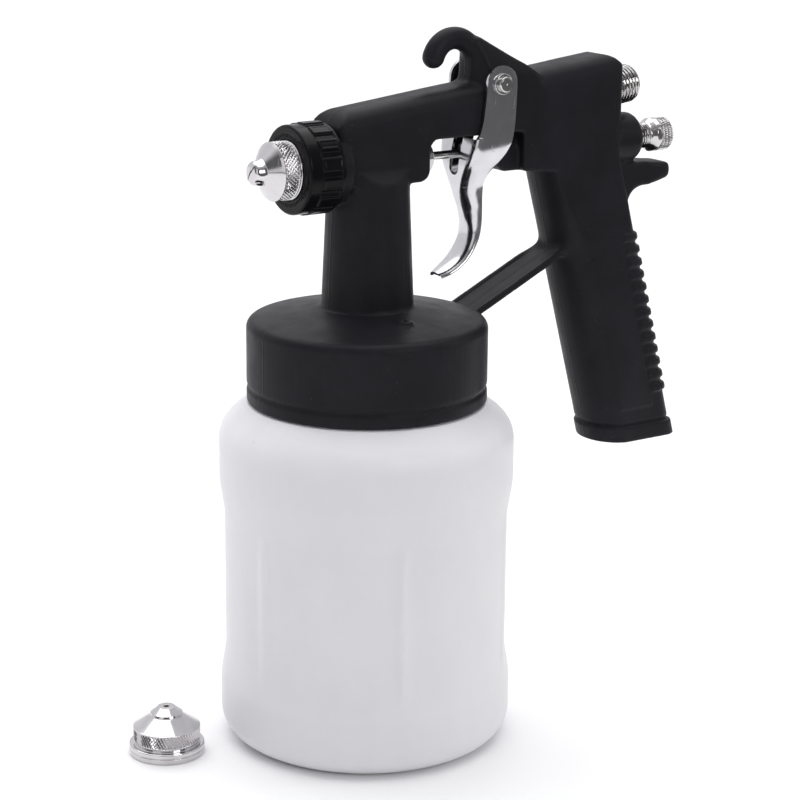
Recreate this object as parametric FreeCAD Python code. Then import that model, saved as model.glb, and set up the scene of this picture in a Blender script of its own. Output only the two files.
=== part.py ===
"""Suction-feed plastic spray gun with a screw-on bottle, and its spare air cap.

Frame, in millimetres: the origin is the centre of the bottle's base, +Z is up,
and the nozzle points along -X, so the handle is on the +X side. The gun is
symmetric about the plane Y = 0. The needle runs along X at NEEDLE_Z.
"""

import FreeCAD, Part
import math
import os

os.makedirs("parts", exist_ok=True)

V = FreeCAD.Vector
X_DIR = V(1, 0, 0)
Y_DIR = V(0, 1, 0)
Z_DIR = V(0, 0, 1)

# ---------------------------------------------------------------- driving sizes
NEEDLE_Z = 196.0            # height of the needle and nozzle axis
BODY_HALF = 9.5             # half the width of the two head blocks
FIT = 0.05                  # radial clearance of a running fit

# lid and bottle
LID_R = 40.0
LID_BOTTOM = 117.0
LID_TOP = 144.0
LID_BORE_R = 37.4
LID_ROOF = 3.6              # thickness of the lid's top
LID_CROWN = 148.6           # height at which the lid's conical top meets the column
VENT = V(-1.0, -23.2, 0)    # place of the vent on the lid, seen from above
VENT_TOP = 147.9
BOTTLE_R = 49.3             # upper and lower bulges
WAIST_R = 47.6
BOTTLE_WALL = 1.6
NECK_R = 36.9
NECK_TOP = 138.0
GASKET_T = 2.0

# column between the lid and the head
COLUMN_FOOT_R = 15.3
COLUMN_TOP_R = 13.7
COLUMN_FOOT_FILLET = 1.0
COLUMN_TOP = NEEDLE_Z - 1.3

# head: front block, barrel and rear block
HEAD_FRONT = -16.5
FRONT_BLOCK_REAR = 18.2
REAR_BLOCK_FRONT = 56.0
HEAD_REAR = 98.5
BLOCK_BOTTOM = 189.5
BARREL_UNDERSIDE = 203.0
HEAD_TOP_AT_20 = 217.7      # height of the top line at X = 20
HEAD_SLOPE = 0.118          # rise of the top line towards the rear

# hanging hook and trigger pivot
HOOK_X = 33.0
HOOK_Z = 226.0
HOOK_RING_R = 8.3
HOOK_ROD_R = 3.7
PIVOT_X = 45.2
PIVOT_Z = 219.7
PIVOT_R = 2.0
EYE_R = 6.0                 # round end of each trigger arm

# handle
HANDLE_BOTTOM = 88.5
HANDLE_TOP = 200.0
HANDLE_LEAN = 0.2715        # rearward shift per unit of drop
HANDLE_REF_Z = 133.8
HANDLE_FRONT_X = 81.6       # at HANDLE_REF_Z
HANDLE_DEPTH = 32.0
HANDLE_HALF = 12.2
HANDLE_NOSE = 10.0          # depth of the rounded front
RIB_COUNT = 13
RIB_PITCH = 4.65
RIB_TOP_Z = 163.0
RIB_HEIGHT = 0.8

# strut from the lid to the handle
STRUT_HALF = 8.0
STRUT_START_X = 39.6
STRUT_SLOPE = 0.4776
STRUT_T = 2.4

# nozzle, air cap and ring
SPIGOT_R = 12.2
SPIGOT_FRONT = -24.0
RING_FRONT = -30.6
RING_REAR = -17.3
RING_R = 14.9
PAD_FRONT = -26.1
PAD_HALF = 1.6
CAP_R = 9.5
CAP_FLANGE_R = 11.6
CAP_TIP = -44.4
NOZZLE_TIP = -43.4

# needle, valve and adjuster
NEEDLE_R = 1.4
NEEDLE_TIP = -43.0
NOSE_FRONT = 46.5           # front of the valve nose on the rear block
NOSE_R = 6.2
VALVE_SEAT_X = 58.0
PLUNGER_REAR = VALVE_SEAT_X + 3.0
VALVE_R = 6.5
GLAND_X = 75.0
GLAND_T = 4.0
PLUNGER_R = 3.0
PLUNGER_FRONT = 36.7
LOST_MOTION = 1.05          # plunger travel before it reaches the needle's collar
BOSS_R = 8.8
BOSS_REAR = 109.2
BUSH_R = 5.6
BUSH_LENGTH = 9.0
STEM_R = 4.5
KNOB_REAR = 124.2
KNOB_R = 5.9
SPRING_CHAMBER_R = 4.6

# air inlet
INLET_THREAD_R = 13.157 / 2  # G 1/4
INLET_END_X = 108.0
INLET_END_Z = 215.0
INLET_SINK = 2.0            # depth of the inlet flange's recess in the rear face

# trigger
SHEET = 1.2
TRIGGER_HALF = 11.2
TRIGGER_GRIP_HALF = 5.6

# siphon tube
TUBE_R = 3.5
TUBE_WALL = 1.0
TUBE_BOTTOM = 8.0
TUBE_TOP = 184.0

# spare air cap, standing on the same surface as the bottle
SPARE_X = -68.5
SPARE_Y = 16.5


# ------------------------------------------------------------------- small tools
def wire_of(corners, place):
    """Closed outline from (u, v, radius) corners; place turns (u, v) into a point."""
    edges = []
    first = None
    last = None
    count = len(corners)
    for i in range(count):
        u, v, radius = corners[i]
        here = V(u, v, 0)
        before = V(corners[i - 1][0], corners[i - 1][1], 0)
        after = V(corners[(i + 1) % count][0], corners[(i + 1) % count][1], 0)
        into = (here - before).normalize()
        out = (after - here).normalize()
        turn = into.getAngle(out)
        if radius > 0 and turn > 1e-3:
            back = radius * math.tan(turn / 2)
            start = here - into * back
            end = here + out * back
            inward = (out - into).normalize()
            middle = here + inward * (radius / math.cos(turn / 2) - radius)
        else:
            start = end = here
            middle = None
        if last is not None:
            edges.append(Part.LineSegment(place(last), place(start)).toShape())
        else:
            first = start
        if middle is not None:
            arc = Part.Arc(place(start), place(middle), place(end))
            edges.append(arc.toShape())
        last = end
    edges.append(Part.LineSegment(place(last), place(first)).toShape())
    return Part.Wire(edges)


def prism_y(corners, low, high):
    """Side-view (x, z) outline extruded from Y = low to Y = high."""
    wire = wire_of(corners, lambda p: V(p.x, low, p.y))
    return Part.Face(wire).extrude(Y_DIR * (high - low))


def prism_x(corners, low, high):
    """Front-view (y, z) outline extruded from X = low to X = high."""
    wire = wire_of(corners, lambda p: V(low, p.x, p.y))
    return Part.Face(wire).extrude(X_DIR * (high - low))


def prism_z(corners, low, high):
    """Plan (x, y) outline extruded from Z = low to Z = high."""
    wire = wire_of(corners, lambda p: V(p.x, p.y, low))
    return Part.Face(wire).extrude(Z_DIR * (high - low))


def with_radius(profile):
    """Adds a sharp corner's zero radius to the corners that state none."""
    return [p if len(p) == 3 else (*p, 0) for p in profile]


def turned_x(profile):
    """Solid of revolution about the needle's axis, from (x, r) corners."""
    wire = wire_of(with_radius(profile), lambda p: V(p.x, 0, NEEDLE_Z + p.y))
    return Part.Face(wire).revolve(V(0, 0, NEEDLE_Z), X_DIR, 360)


def turned_z(profile):
    """Solid of revolution about the Z axis from (r, z) corners."""
    wire = wire_of(with_radius(profile), lambda p: V(p.x, 0, p.y))
    return Part.Face(wire).revolve(V(0, 0, 0), Z_DIR, 360)


def rod_x(radius, low, high, z=NEEDLE_Z, y=0.0):
    return Part.makeCylinder(radius, high - low, V(low, y, z), X_DIR)


def tube_x(outer, inner, low, high):
    return rod_x(outer, low, high).cut(rod_x(inner, low - 1, high + 1))


def block(x0, x1, y0, y1, z0, z1):
    return Part.makeBox(x1 - x0, y1 - y0, z1 - z0, V(x0, y0, z0))


def joined(shapes):
    return shapes[0].multiFuse(shapes[1:]).removeSplitter()


def coil(radius, wire_radius, low, high, turns):
    """Compression spring along the needle axis, as one helical wire."""
    pitch = (high - low - 2 * wire_radius) / turns
    path = Part.makeHelix(pitch, pitch * turns, radius)
    path.Placement = FreeCAD.Placement(V(low + wire_radius, 0, NEEDLE_Z),
                                       FreeCAD.Rotation(Y_DIR, 90))
    start = path.Edges[0].valueAt(path.Edges[0].FirstParameter)
    tangent = path.Edges[0].tangentAt(path.Edges[0].FirstParameter)
    ring = Part.Wire([Part.Circle(start, tangent, wire_radius).toShape()])
    return Part.Wire(path.Edges).makePipeShell([ring], True, True)


def head_top(x):
    """Height of the head's top line at x."""
    return HEAD_TOP_AT_20 + HEAD_SLOPE * (x - 20)


def handle_shift(z):
    """Rearward shift of the handle's section at height z."""
    return HANDLE_LEAN * (HANDLE_REF_Z - z)


def inlet_z(x):
    """Height of the air inlet's axis at x."""
    return INLET_END_Z + HEAD_SLOPE * (x - INLET_END_X)


# ----------------------------------------------------------------- the moulding
def lid_and_column():
    """Screw lid with the column that rises from its centre."""
    return turned_z([
        (0, LID_BOTTOM),
        (LID_R, LID_BOTTOM, 0.6),
        (LID_R, LID_BOTTOM + 4.0),
        (LID_R - 0.7, LID_BOTTOM + 4.6),
        (LID_R - 0.7, LID_BOTTOM + 5.6),
        (LID_R, LID_BOTTOM + 6.2),
        (LID_R, LID_TOP, 3.0),
        (COLUMN_FOOT_R, LID_CROWN, COLUMN_FOOT_FILLET),
        (COLUMN_TOP_R, BLOCK_BOTTOM - 4),
        (COLUMN_TOP_R, COLUMN_TOP),
        (0, COLUMN_TOP),
    ])


def column_shoulders():
    """What is cut away so that the column ends in a 45 degree ledge on each side."""
    cuts = []
    reach = 20
    for side in (-1, 1):
        inner = side * BODY_HALF
        outer = side * (BODY_HALF + reach)
        wedge = [(inner, COLUMN_TOP, 0), (inner, COLUMN_TOP + 6, 0),
                 (outer, COLUMN_TOP + 6, 0), (outer, COLUMN_TOP - reach, 0)]
        cuts.append(prism_x(wedge, -reach, reach))
    return cuts


def head():
    """Front block, barrel and rear block: one outline seen from three sides."""
    side = prism_y([
        (HEAD_FRONT, BLOCK_BOTTOM, 2.5),
        (FRONT_BLOCK_REAR, BLOCK_BOTTOM, 4.0),
        (FRONT_BLOCK_REAR, BARREL_UNDERSIDE, 3.5),
        (REAR_BLOCK_FRONT, BARREL_UNDERSIDE, 1.5),
        (REAR_BLOCK_FRONT, BLOCK_BOTTOM, 1.5),
        (HEAD_REAR, BLOCK_BOTTOM - 4, 2.0),
        (HEAD_REAR, head_top(HEAD_REAR), 7.0),
        (HEAD_FRONT, head_top(HEAD_FRONT), 8.0),
    ], -BODY_HALF, BODY_HALF)
    # cross-section with rounded shoulders, swept along the sloping top line
    low_x = HEAD_FRONT - 5
    high_x = HEAD_REAR + 5
    top = head_top(low_x)
    section = wire_of([
        (-BODY_HALF, top - 80, 0), (BODY_HALF, top - 80, 0),
        (BODY_HALF, top, 6.5), (-BODY_HALF, top, 6.5),
    ], lambda p: V(low_x, p.x, p.y))
    length = high_x - low_x
    across = Part.Face(section).extrude(V(length, 0, length * HEAD_SLOPE))
    plan = prism_z([
        (HEAD_FRONT, -BODY_HALF, 3.0), (HEAD_REAR, -BODY_HALF, 3.0),
        (HEAD_REAR, BODY_HALF, 3.0), (HEAD_FRONT, BODY_HALF, 3.0),
    ], BLOCK_BOTTOM - 10, head_top(HEAD_REAR) + 10)
    return side.common(across).common(plan)


def valve_nose():
    """Narrow nose of the rear block around the valve plunger, on a thin floor."""
    nose = rod_x(NOSE_R, NOSE_FRONT, REAR_BLOCK_FRONT + 4)
    floor = prism_y([
        (NOSE_FRONT, BLOCK_BOTTOM + 3.0, 0.8), (NOSE_FRONT + 3.5, BLOCK_BOTTOM, 2.5),
        (REAR_BLOCK_FRONT + 12, BLOCK_BOTTOM, 0), (REAR_BLOCK_FRONT + 12, NEEDLE_Z, 0),
        (NOSE_FRONT, NEEDLE_Z, 0),
    ], -NOSE_R, NOSE_R)
    web = block(NOSE_FRONT + 2, REAR_BLOCK_FRONT + 4, -3.5, 3.5, NEEDLE_Z, BARREL_UNDERSIDE + 1)
    return [nose, floor, web]


def hook():
    """Hanging hook: a bent round rod that widens into the trigger's pivot boss."""
    tip_angle = math.radians(163)
    tip = V(HOOK_X + HOOK_RING_R * math.cos(tip_angle), 0,
            HOOK_Z + HOOK_RING_R * math.sin(tip_angle))
    along = V(-math.sin(tip_angle), 0, math.cos(tip_angle))
    disc = Part.Face(Part.Wire([Part.Circle(tip, along, HOOK_ROD_R).toShape()]))
    bend = disc.revolve(V(HOOK_X, 0, HOOK_Z), Y_DIR, 150)
    ball = Part.makeSphere(HOOK_ROD_R, tip)
    outer = HOOK_RING_R + HOOK_ROD_R
    slope = math.radians(-29.1)
    start = V(HOOK_X + outer * math.sin(-slope), 0, HOOK_Z + outer * math.cos(slope))
    run = (start.z - head_top(66)) / math.tan(-slope)
    inner_x = HOOK_X + HOOK_RING_R - HOOK_ROD_R + 0.2
    outline = [
        (start.x, start.z - 0.4, 2.0),
        (start.x + run, head_top(66) - 1.5, 0),
        (start.x + run, BARREL_UNDERSIDE + 8, 0),
        (inner_x - 6.0, BARREL_UNDERSIDE + 8, 0),
        (inner_x - 6.0, head_top(inner_x - 6) - 0.4, 0),
        (inner_x, head_top(inner_x) + 0.2, 3.0),
        (inner_x, HOOK_Z, 0),
        (inner_x + 0.4, HOOK_Z + 6.0, 0),
    ]
    web = prism_y(outline, -BODY_HALF, BODY_HALF)
    taper = prism_x([
        (-BODY_HALF, BARREL_UNDERSIDE, 0), (BODY_HALF, BARREL_UNDERSIDE, 0),
        (BODY_HALF, PIVOT_Z + 3, 6.0), (HOOK_ROD_R + 0.3, HOOK_Z + 9.2, 3.0),
        (-HOOK_ROD_R - 0.3, HOOK_Z + 9.2, 3.0), (-BODY_HALF, PIVOT_Z + 3, 6.0),
    ], inner_x - 20, start.x + run + 20)
    # the web is thin at the hook and reaches full width at the pivot
    plan = prism_z([
        (inner_x - 8, -HOOK_ROD_R - 0.5, 0), (inner_x + 1.0, -HOOK_ROD_R - 0.5, 2.5),
        (inner_x + 4.5, -BODY_HALF, 2.5), (start.x + run + 1, -BODY_HALF, 0),
        (start.x + run + 1, BODY_HALF, 0), (inner_x + 4.5, BODY_HALF, 2.5),
        (inner_x + 1.0, HOOK_ROD_R + 0.5, 2.5), (inner_x - 8, HOOK_ROD_R + 0.5, 0),
    ], BARREL_UNDERSIDE, HOOK_Z + 20)
    return [bend, ball, web.common(taper).common(plan)]


def grip_section(half, nose, grow):
    """Level section of the handle: round front, squarer back."""
    front = HANDLE_FRONT_X
    back = HANDLE_FRONT_X + HANDLE_DEPTH + grow
    half = half + grow
    centre = front + nose
    low = HANDLE_BOTTOM
    place = V(handle_shift(low), 0, low)
    round_front = Part.Ellipse(V(centre, half, 0), V(front - grow, 0, 0), V(centre, 0, 0))
    nose_edge = Part.Arc(round_front, 0, math.pi).toShape()
    corner = 6.0
    diagonal = corner * math.cos(math.pi / 4)
    edges = [nose_edge]
    for side in (-1, 1):
        flat_end = V(back - corner, side * half, 0)
        arc_end = V(back, side * (half - corner), 0)
        middle = V(back - corner + diagonal, side * (half - corner + diagonal), 0)
        edges.append(Part.LineSegment(V(centre, side * half, 0), flat_end).toShape())
        edges.append(Part.Arc(flat_end, middle, arc_end).toShape())
    edges.append(Part.LineSegment(V(back, -(half - corner), 0),
                                  V(back, half - corner, 0)).toShape())
    wire = Part.Wire(Part.__sortEdges__(edges))
    wire.translate(place)
    return Part.Face(wire)


def leaning(face, low, high):
    """The handle's section face swept from height low to height high."""
    face = face.copy()
    face.translate(V(handle_shift(low) - handle_shift(HANDLE_BOTTOM), 0, low - HANDLE_BOTTOM))
    return face.extrude(V(handle_shift(high) - handle_shift(low), 0, high - low))


def handle():
    """Leaning grip with a ribbed back and a foot band."""
    section = grip_section(HANDLE_HALF, HANDLE_NOSE, 0.0)
    grip = leaning(section, HANDLE_BOTTOM, HANDLE_TOP - 4)
    shoulder = HANDLE_HALF + 5
    neck = prism_x([
        (-shoulder, HANDLE_BOTTOM - 5, 0), (shoulder, HANDLE_BOTTOM - 5, 0),
        (shoulder, 150, 0), (HANDLE_HALF, 162, 40.0), (BODY_HALF, 186, 20.0),
        (BODY_HALF, HANDLE_TOP, 0), (-BODY_HALF, HANDLE_TOP, 0),
        (-BODY_HALF, 186, 20.0), (-HANDLE_HALF, 162, 40.0), (-shoulder, 150, 0),
    ], 50, 150)
    grip = grip.common(neck)
    head_limit = block(REAR_BLOCK_FRONT, HEAD_REAR, -20, 20, BLOCK_BOTTOM - 3, HANDLE_TOP)
    lower = block(40, 160, -20, 20, HANDLE_BOTTOM - 5, BLOCK_BOTTOM - 3)
    grip = grip.common(joined([head_limit, lower]))
    raised = grip_section(HANDLE_HALF, HANDLE_NOSE, RIB_HEIGHT)
    pieces = [grip]
    for i in range(RIB_COUNT):
        middle = RIB_TOP_Z - i * RIB_PITCH
        slab = leaning(raised, middle - 1.2, middle + 1.2)
        back = HANDLE_FRONT_X + HANDLE_DEPTH + handle_shift(middle)
        zone = block(back - 7.5, back + 5, -20, 20, middle - 2, middle + 2)
        pieces.append(slab.common(zone))
    band = leaning(grip_section(HANDLE_HALF, HANDLE_NOSE, 0.7), HANDLE_BOTTOM,
                   HANDLE_BOTTOM + 5.6)
    pieces.append(band)
    return pieces


def thumb_spur():
    """Tongue behind the handle's top that rests on the hand."""
    tongue = prism_y([
        (90, 170, 0), (103.5, 168, 0), (105.5, 178.6, 7.0), (117, 179.8, 0),
        (124.1, 181.5, 2.4), (124.1, 186.6, 2.2), (112, 187.6, 4.0), (90, 188, 0),
    ], -6.2, 6.2)
    plan = prism_z([
        (80, -9.0, 0), (108, -6.2, 12.0), (124.1, -6.2, 3.2),
        (124.1, 6.2, 3.2), (108, 6.2, 12.0), (80, 9.0, 0),
    ], 160, 195)
    return tongue.common(plan)


def strut():
    """Thin channel from the lid's rim up to the handle's front."""
    def top(x):
        return LID_TOP + STRUT_SLOPE * (x - STRUT_START_X)
    cos = 1 / math.hypot(1, STRUT_SLOPE)
    drop = STRUT_T / cos
    end = 80.0
    lip = 0.9
    rail = prism_y([
        (30, top(30), 0), (76.0, top(76.0), 5.0), (77.0, 172, 0), (88, 172, 0),
        (end + 8, top(end) - drop, 0), (75.0, top(75.0) - drop, 0), (30, top(30) - drop, 0),
    ], -STRUT_HALF, STRUT_HALF)
    trough = prism_y([
        (20, top(20) - lip, 0), (74.5, top(74.5) - lip, 5.0), (76.2, 180, 0), (20, 180, 0),
    ], -STRUT_HALF + 1.6, STRUT_HALF - 1.6)
    inside_lid = Part.makeCylinder(LID_R - 4, 60, V(0, 0, LID_BOTTOM))
    return rail.cut(trough).cut(inside_lid)


def adjuster_boss():
    """Round boss behind the rear block that carries the adjuster."""
    return turned_x([(88, 0), (88, BOSS_R), (BOSS_REAR, BOSS_R, 3.0), (BOSS_REAR, 0)])


def spigot():
    """Threaded front spigot that the retaining ring screws on."""
    return rod_x(SPIGOT_R, SPIGOT_FRONT, HEAD_FRONT + 4)


def vent_boss():
    """Small raised disc on the lid with the vent hole in it."""
    return Part.makeCylinder(2.8, 3.0, VENT + Z_DIR * (VENT_TOP - 3.0))


def passages():
    """Everything that is hollow inside the moulding."""
    axis = NEEDLE_Z
    cuts = [
        Part.makeCylinder(LID_BORE_R, LID_TOP - LID_ROOF - LID_BOTTOM + 1,
                          V(0, 0, LID_BOTTOM - 1)),
        Part.makeCylinder(TUBE_R + FIT, TUBE_TOP + 0.5 - LID_TOP + 10, V(0, 0, LID_TOP - 10)),
        Part.makeCylinder(TUBE_R - TUBE_WALL, 16, V(0, 0, TUBE_TOP)),
        Part.makeCylinder(0.6, 12, VENT + Z_DIR * (LID_TOP - 8)),
        # front: nozzle seat, needle bore and packing pocket
        rod_x(5.0, SPIGOT_FRONT - 1, -8.0),
        rod_x(2.6, -9.0, 9.0),
        rod_x(4.2, 8.0, FRONT_BLOCK_REAR + 1),
        # annular air gallery in the spigot's face
        tube_x(10.6, 7.4, SPIGOT_FRONT - 1, SPIGOT_FRONT + 5.0),
        rod_x(1.5, SPIGOT_FRONT + 4, HEAD_FRONT + 10, axis + 9.0),
        Part.makeCylinder(1.5, 6.5, V(HEAD_FRONT + 9, 0, axis + 8.2), Z_DIR),
        rod_x(2.6, HEAD_FRONT + 7.5, 62.0, axis + 13.4),
        # valve chamber in the rear block
        rod_x(PLUNGER_R + FIT, NOSE_FRONT - 1, VALVE_SEAT_X + 1),
        rod_x(VALVE_R, VALVE_SEAT_X, GLAND_X),
        rod_x(VALVE_R - 1.0, GLAND_X - 1, GLAND_X + GLAND_T),
        rod_x(SPRING_CHAMBER_R, GLAND_X + GLAND_T - 1, BOSS_REAR + 1),
        rod_x(BUSH_R, BOSS_REAR - BUSH_LENGTH, BOSS_REAR + 1),
        rod_x(PLUNGER_R + 1.2, VALVE_SEAT_X - 3.5, VALVE_SEAT_X + 0.5),
        Part.makeCylinder(1.1, 12.0, V(VALVE_SEAT_X - 2.2, 0, axis + 3.6), Z_DIR),
        Part.makeCylinder(2.2, 14.0, V(GLAND_X - 6, 0, axis + 4.0), Z_DIR),
        # trigger pin
        Part.makeCylinder(PIVOT_R, 2 * BODY_HALF + 4, V(PIVOT_X, -BODY_HALF - 2, PIVOT_Z), Y_DIR),
    ]
    along = V(-1, 0, -HEAD_SLOPE)
    mouth = V(HEAD_REAR + 2, 0, inlet_z(HEAD_REAR + 2))
    cuts.append(Part.makeCylinder(6.0, 14.0, mouth, along))
    cuts.append(Part.makeCylinder(2.6, 34.0, mouth, along))
    seat = V(HEAD_REAR - INLET_SINK, 0, inlet_z(HEAD_REAR - INLET_SINK))
    cuts.append(Part.makeCylinder(7.5, INLET_SINK + 4.0, seat, V(1, 0, HEAD_SLOPE)))
    return cuts


def gun_body():
    """The one-piece black moulding."""
    solids = [lid_and_column().cut(Part.makeCompound(column_shoulders())), head()]
    solids += valve_nose() + hook() + handle()
    solids += [thumb_spur(), strut(), adjuster_boss(), spigot(), vent_boss()]
    whole = joined(solids)
    for cut in passages():
        whole = whole.cut(cut)
    return whole


# --------------------------------------------------------------- front end parts
def fluid_nozzle():
    """Nozzle with the seat that the needle closes."""
    outside = turned_x([
        (-9.0, 0), (-9.0, 4.9), (SPIGOT_FRONT, 4.9), (SPIGOT_FRONT, 6.3),
        (-27.4, 6.3), (-28.4, 5.2), (-37.0, 3.2), (NOZZLE_TIP, 1.5), (NOZZLE_TIP, 0),
    ])
    bore = turned_x([
        (-8, 0), (-8, 2.6), (-35.0, 2.6), (NOZZLE_TIP - 0.1, 0.62), (NOZZLE_TIP - 0.1, 0),
    ])
    return outside.cut(bore)


def air_baffle():
    """Drilled ring that spreads the air between the spigot and the cap."""
    ring = tube_x(CAP_FLANGE_R, 6.5, -26.0, SPIGOT_FRONT)
    holes = []
    for i in range(8):
        angle = math.radians(45 * i + 22.5)
        holes.append(rod_x(0.9, -27, SPIGOT_FRONT + 1, NEEDLE_Z + 9.0 * math.sin(angle),
                           9.0 * math.cos(angle)))
    return ring.cut(Part.makeCompound(holes))


def air_cap():
    """Fan-spray cap: knurled collar, cone and a slotted dome."""
    outside = turned_x([
        (-26.1, 0), (-26.1, CAP_FLANGE_R), (-28.0, CAP_FLANGE_R), (-28.0, CAP_R),
        (-36.6, CAP_R, 0.4), (-37.4, CAP_R - 0.7, 0.4), (-40.4, 4.4, 0.5),
        (CAP_TIP + 0.2, 3.6, 3.4), (CAP_TIP, 0),
    ])
    inside = turned_x([
        (-25, 0), (-25, 8.6), (-33.5, 8.6, 1.0), (-40.8, 3.0), (-41.2, 2.2), (-50, 2.2), (-50, 0),
    ])
    slit = block(-50, -43.2, -0.45, 0.45, NEEDLE_Z - 6, NEEDLE_Z + 6)
    slit.rotate(V(0, 0, NEEDLE_Z), X_DIR, 40)
    cap = outside.cut(inside).cut(slit)
    for side in (-1, 1):
        angle = math.radians(40)
        offset = side * 3.3
        y = offset * math.cos(angle)
        z = NEEDLE_Z + offset * math.sin(angle)
        cap = cap.cut(rod_x(0.6, -50, -39.5, z, y))
    return cap


def cap_washer():
    """Slip washer between the cap's flange and the ring's lip."""
    return tube_x(CAP_FLANGE_R, CAP_R + 0.4, -28.9, -28.1)


def retaining_ring():
    """Ring nut with grip pads that clamps the cap on the spigot."""
    outside = turned_x([
        (RING_FRONT, 0), (RING_FRONT, RING_R - 0.5, 1.0),
        (RING_REAR, RING_R - 0.5, 0.5), (RING_REAR, 0),
    ])
    pads = []
    pad_count = 18
    for i in range(pad_count):
        pad = prism_z([
            (PAD_FRONT, -PAD_HALF, 0.9), (RING_REAR - 0.9, -PAD_HALF, 0.9),
            (RING_REAR - 0.9, PAD_HALF, 0.9), (PAD_FRONT, PAD_HALF, 0.9),
        ], 12.9, RING_R)
        pad.translate(Z_DIR * NEEDLE_Z)
        pad.rotate(V(0, 0, NEEDLE_Z), X_DIR, 360 / pad_count * (i + 0.5))
        pads.append(pad)
    whole = outside.multiFuse(pads)
    inside = rod_x(SPIGOT_R + FIT, -29.0, RING_REAR + 1)
    mouth = rod_x(CAP_R + 0.35, RING_FRONT - 1, -28)
    return whole.cut(inside).cut(mouth)


# -------------------------------------------------------- needle, valve, adjuster
def needle():
    """Needle from the nozzle's seat back to the spring."""
    return turned_x([
        (NEEDLE_TIP, 0), (NEEDLE_TIP, 0.25), (-36.5, NEEDLE_R), (97.0, NEEDLE_R, 0.4), (97.0, 0),
    ])


def needle_collar():
    """Collar on the needle that the plunger pushes back."""
    start = PLUNGER_REAR + LOST_MOTION
    return tube_x(2.7, NEEDLE_R, start, start + 2.0)


def spring_collar():
    return tube_x(3.6, NEEDLE_R, GLAND_X + GLAND_T + 0.6, GLAND_X + GLAND_T + 2.6)


def needle_packing():
    return tube_x(4.15, NEEDLE_R + FIT, 9.2, 13.0)


def packing_nut():
    """Gland nut at the back of the front block."""
    shoulder = FRONT_BLOCK_REAR + 0.6
    body = tube_x(4.15, NEEDLE_R + 0.3, 13.1, shoulder)
    corner = 4.8 / math.cos(math.pi / 6)
    points = []
    for i in range(6):
        angle = math.radians(60 * i)
        points.append((corner * math.cos(angle), NEEDLE_Z + corner * math.sin(angle), 0.5))
    hexagon = prism_x(points, shoulder, shoulder + 3.8)
    return joined([body, hexagon]).cut(rod_x(NEEDLE_R + 0.3, 10, 30))


def valve_plunger():
    """Hollow plunger that the trigger pushes to open the air."""
    outside = turned_x([
        (PLUNGER_FRONT, 0), (PLUNGER_FRONT, 2.0), (PLUNGER_FRONT + 0.5, 3.3, 0.6),
        (PLUNGER_FRONT + 1.8, 3.6, 0.4), (PLUNGER_FRONT + 2.6, 3.6), (PLUNGER_FRONT + 2.6, 2.95),
        (VALVE_SEAT_X + 1.0, 2.95), (VALVE_SEAT_X + 1.0, 5.0),
        (PLUNGER_REAR, 5.0), (PLUNGER_REAR, 0),
    ])
    return outside.cut(rod_x(NEEDLE_R + 0.15, 30, 70))


def valve_seal():
    return tube_x(5.0, 3.4, VALVE_SEAT_X + 0.05, VALVE_SEAT_X + 1.0)


def valve_gland():
    """Plug that closes the valve chamber around the needle."""
    return turned_x([
        (GLAND_X - 1.0, NEEDLE_R + FIT), (GLAND_X - 1.0, 5.45),
        (GLAND_X + GLAND_T - 1, 5.45), (GLAND_X + GLAND_T - 1, NEEDLE_R + FIT),
    ])


def adjuster_bush():
    """Threaded bush pressed in the boss."""
    return tube_x(BUSH_R, STEM_R + FIT, BOSS_REAR - BUSH_LENGTH, BOSS_REAR)


def spring_seat():
    """Cup between the needle spring and the adjuster's stem."""
    return tube_x(3.0, NEEDLE_R + 0.3, 99.0, 101.5)


def adjuster_knob():
    """Stem, cone collar and knurled rim of the fluid adjuster."""
    outside = turned_x([
        (101.6, 0), (101.6, STEM_R), (115.6, STEM_R), (117.2, KNOB_R, 0.5),
        (118.8, KNOB_R), (118.9, KNOB_R - 0.3), (119.1, KNOB_R - 0.3), (119.2, KNOB_R),
        (KNOB_REAR, KNOB_R, 0.5), (KNOB_REAR, 0),
    ])
    teeth = 24
    grooves = []
    for i in range(teeth):
        angle = 2 * math.pi * i / teeth
        grooves.append(rod_x(0.3, 119.6, KNOB_REAR - 0.7, NEEDLE_Z + KNOB_R * math.sin(angle),
                             KNOB_R * math.cos(angle)))
    return outside.cut(rod_x(NEEDLE_R + 0.3, 100, 112)).cut(Part.makeCompound(grooves))


# ------------------------------------------------------------------ air inlet
def tilt_to_inlet(shape):
    """Turns a shape made along +X at the origin onto the inlet's sloping axis."""
    shape.rotate(V(0, 0, 0), Y_DIR, -math.degrees(math.atan(HEAD_SLOPE)))
    shape.translate(V(HEAD_REAR, 0, inlet_z(HEAD_REAR)))
    return shape


def inlet_nipple():
    """Air inlet: a flanged pin as large as its thread's crests, with a through bore."""
    length = INLET_END_X - HEAD_REAR + 0.1
    flange = 0.4 - INLET_SINK
    corners = [
        (-11.0, 2.6, 0), (-11.0, 5.9, 0), (flange, 5.9, 0), (flange, 7.4, 0), (0, 7.4, 0),
        (0, 5.7, 0), (0.8, 5.7, 0), (1.2, INLET_THREAD_R, 0),
        (length - 0.8, INLET_THREAD_R, 0), (length, 5.6, 0), (length, 2.6, 0),
    ]
    wire = wire_of(corners, lambda p: V(p.x, 0, p.y))
    return tilt_to_inlet(Part.Face(wire).revolve(V(0, 0, 0), X_DIR, 360))


def inlet_washer():
    ring = Part.makeCylinder(7.4, 0.4, V(-INLET_SINK, 0, 0), X_DIR)
    hole = Part.makeCylinder(5.95, 2, V(-INLET_SINK - 1, 0, 0), X_DIR)
    return tilt_to_inlet(ring.cut(hole))


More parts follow.
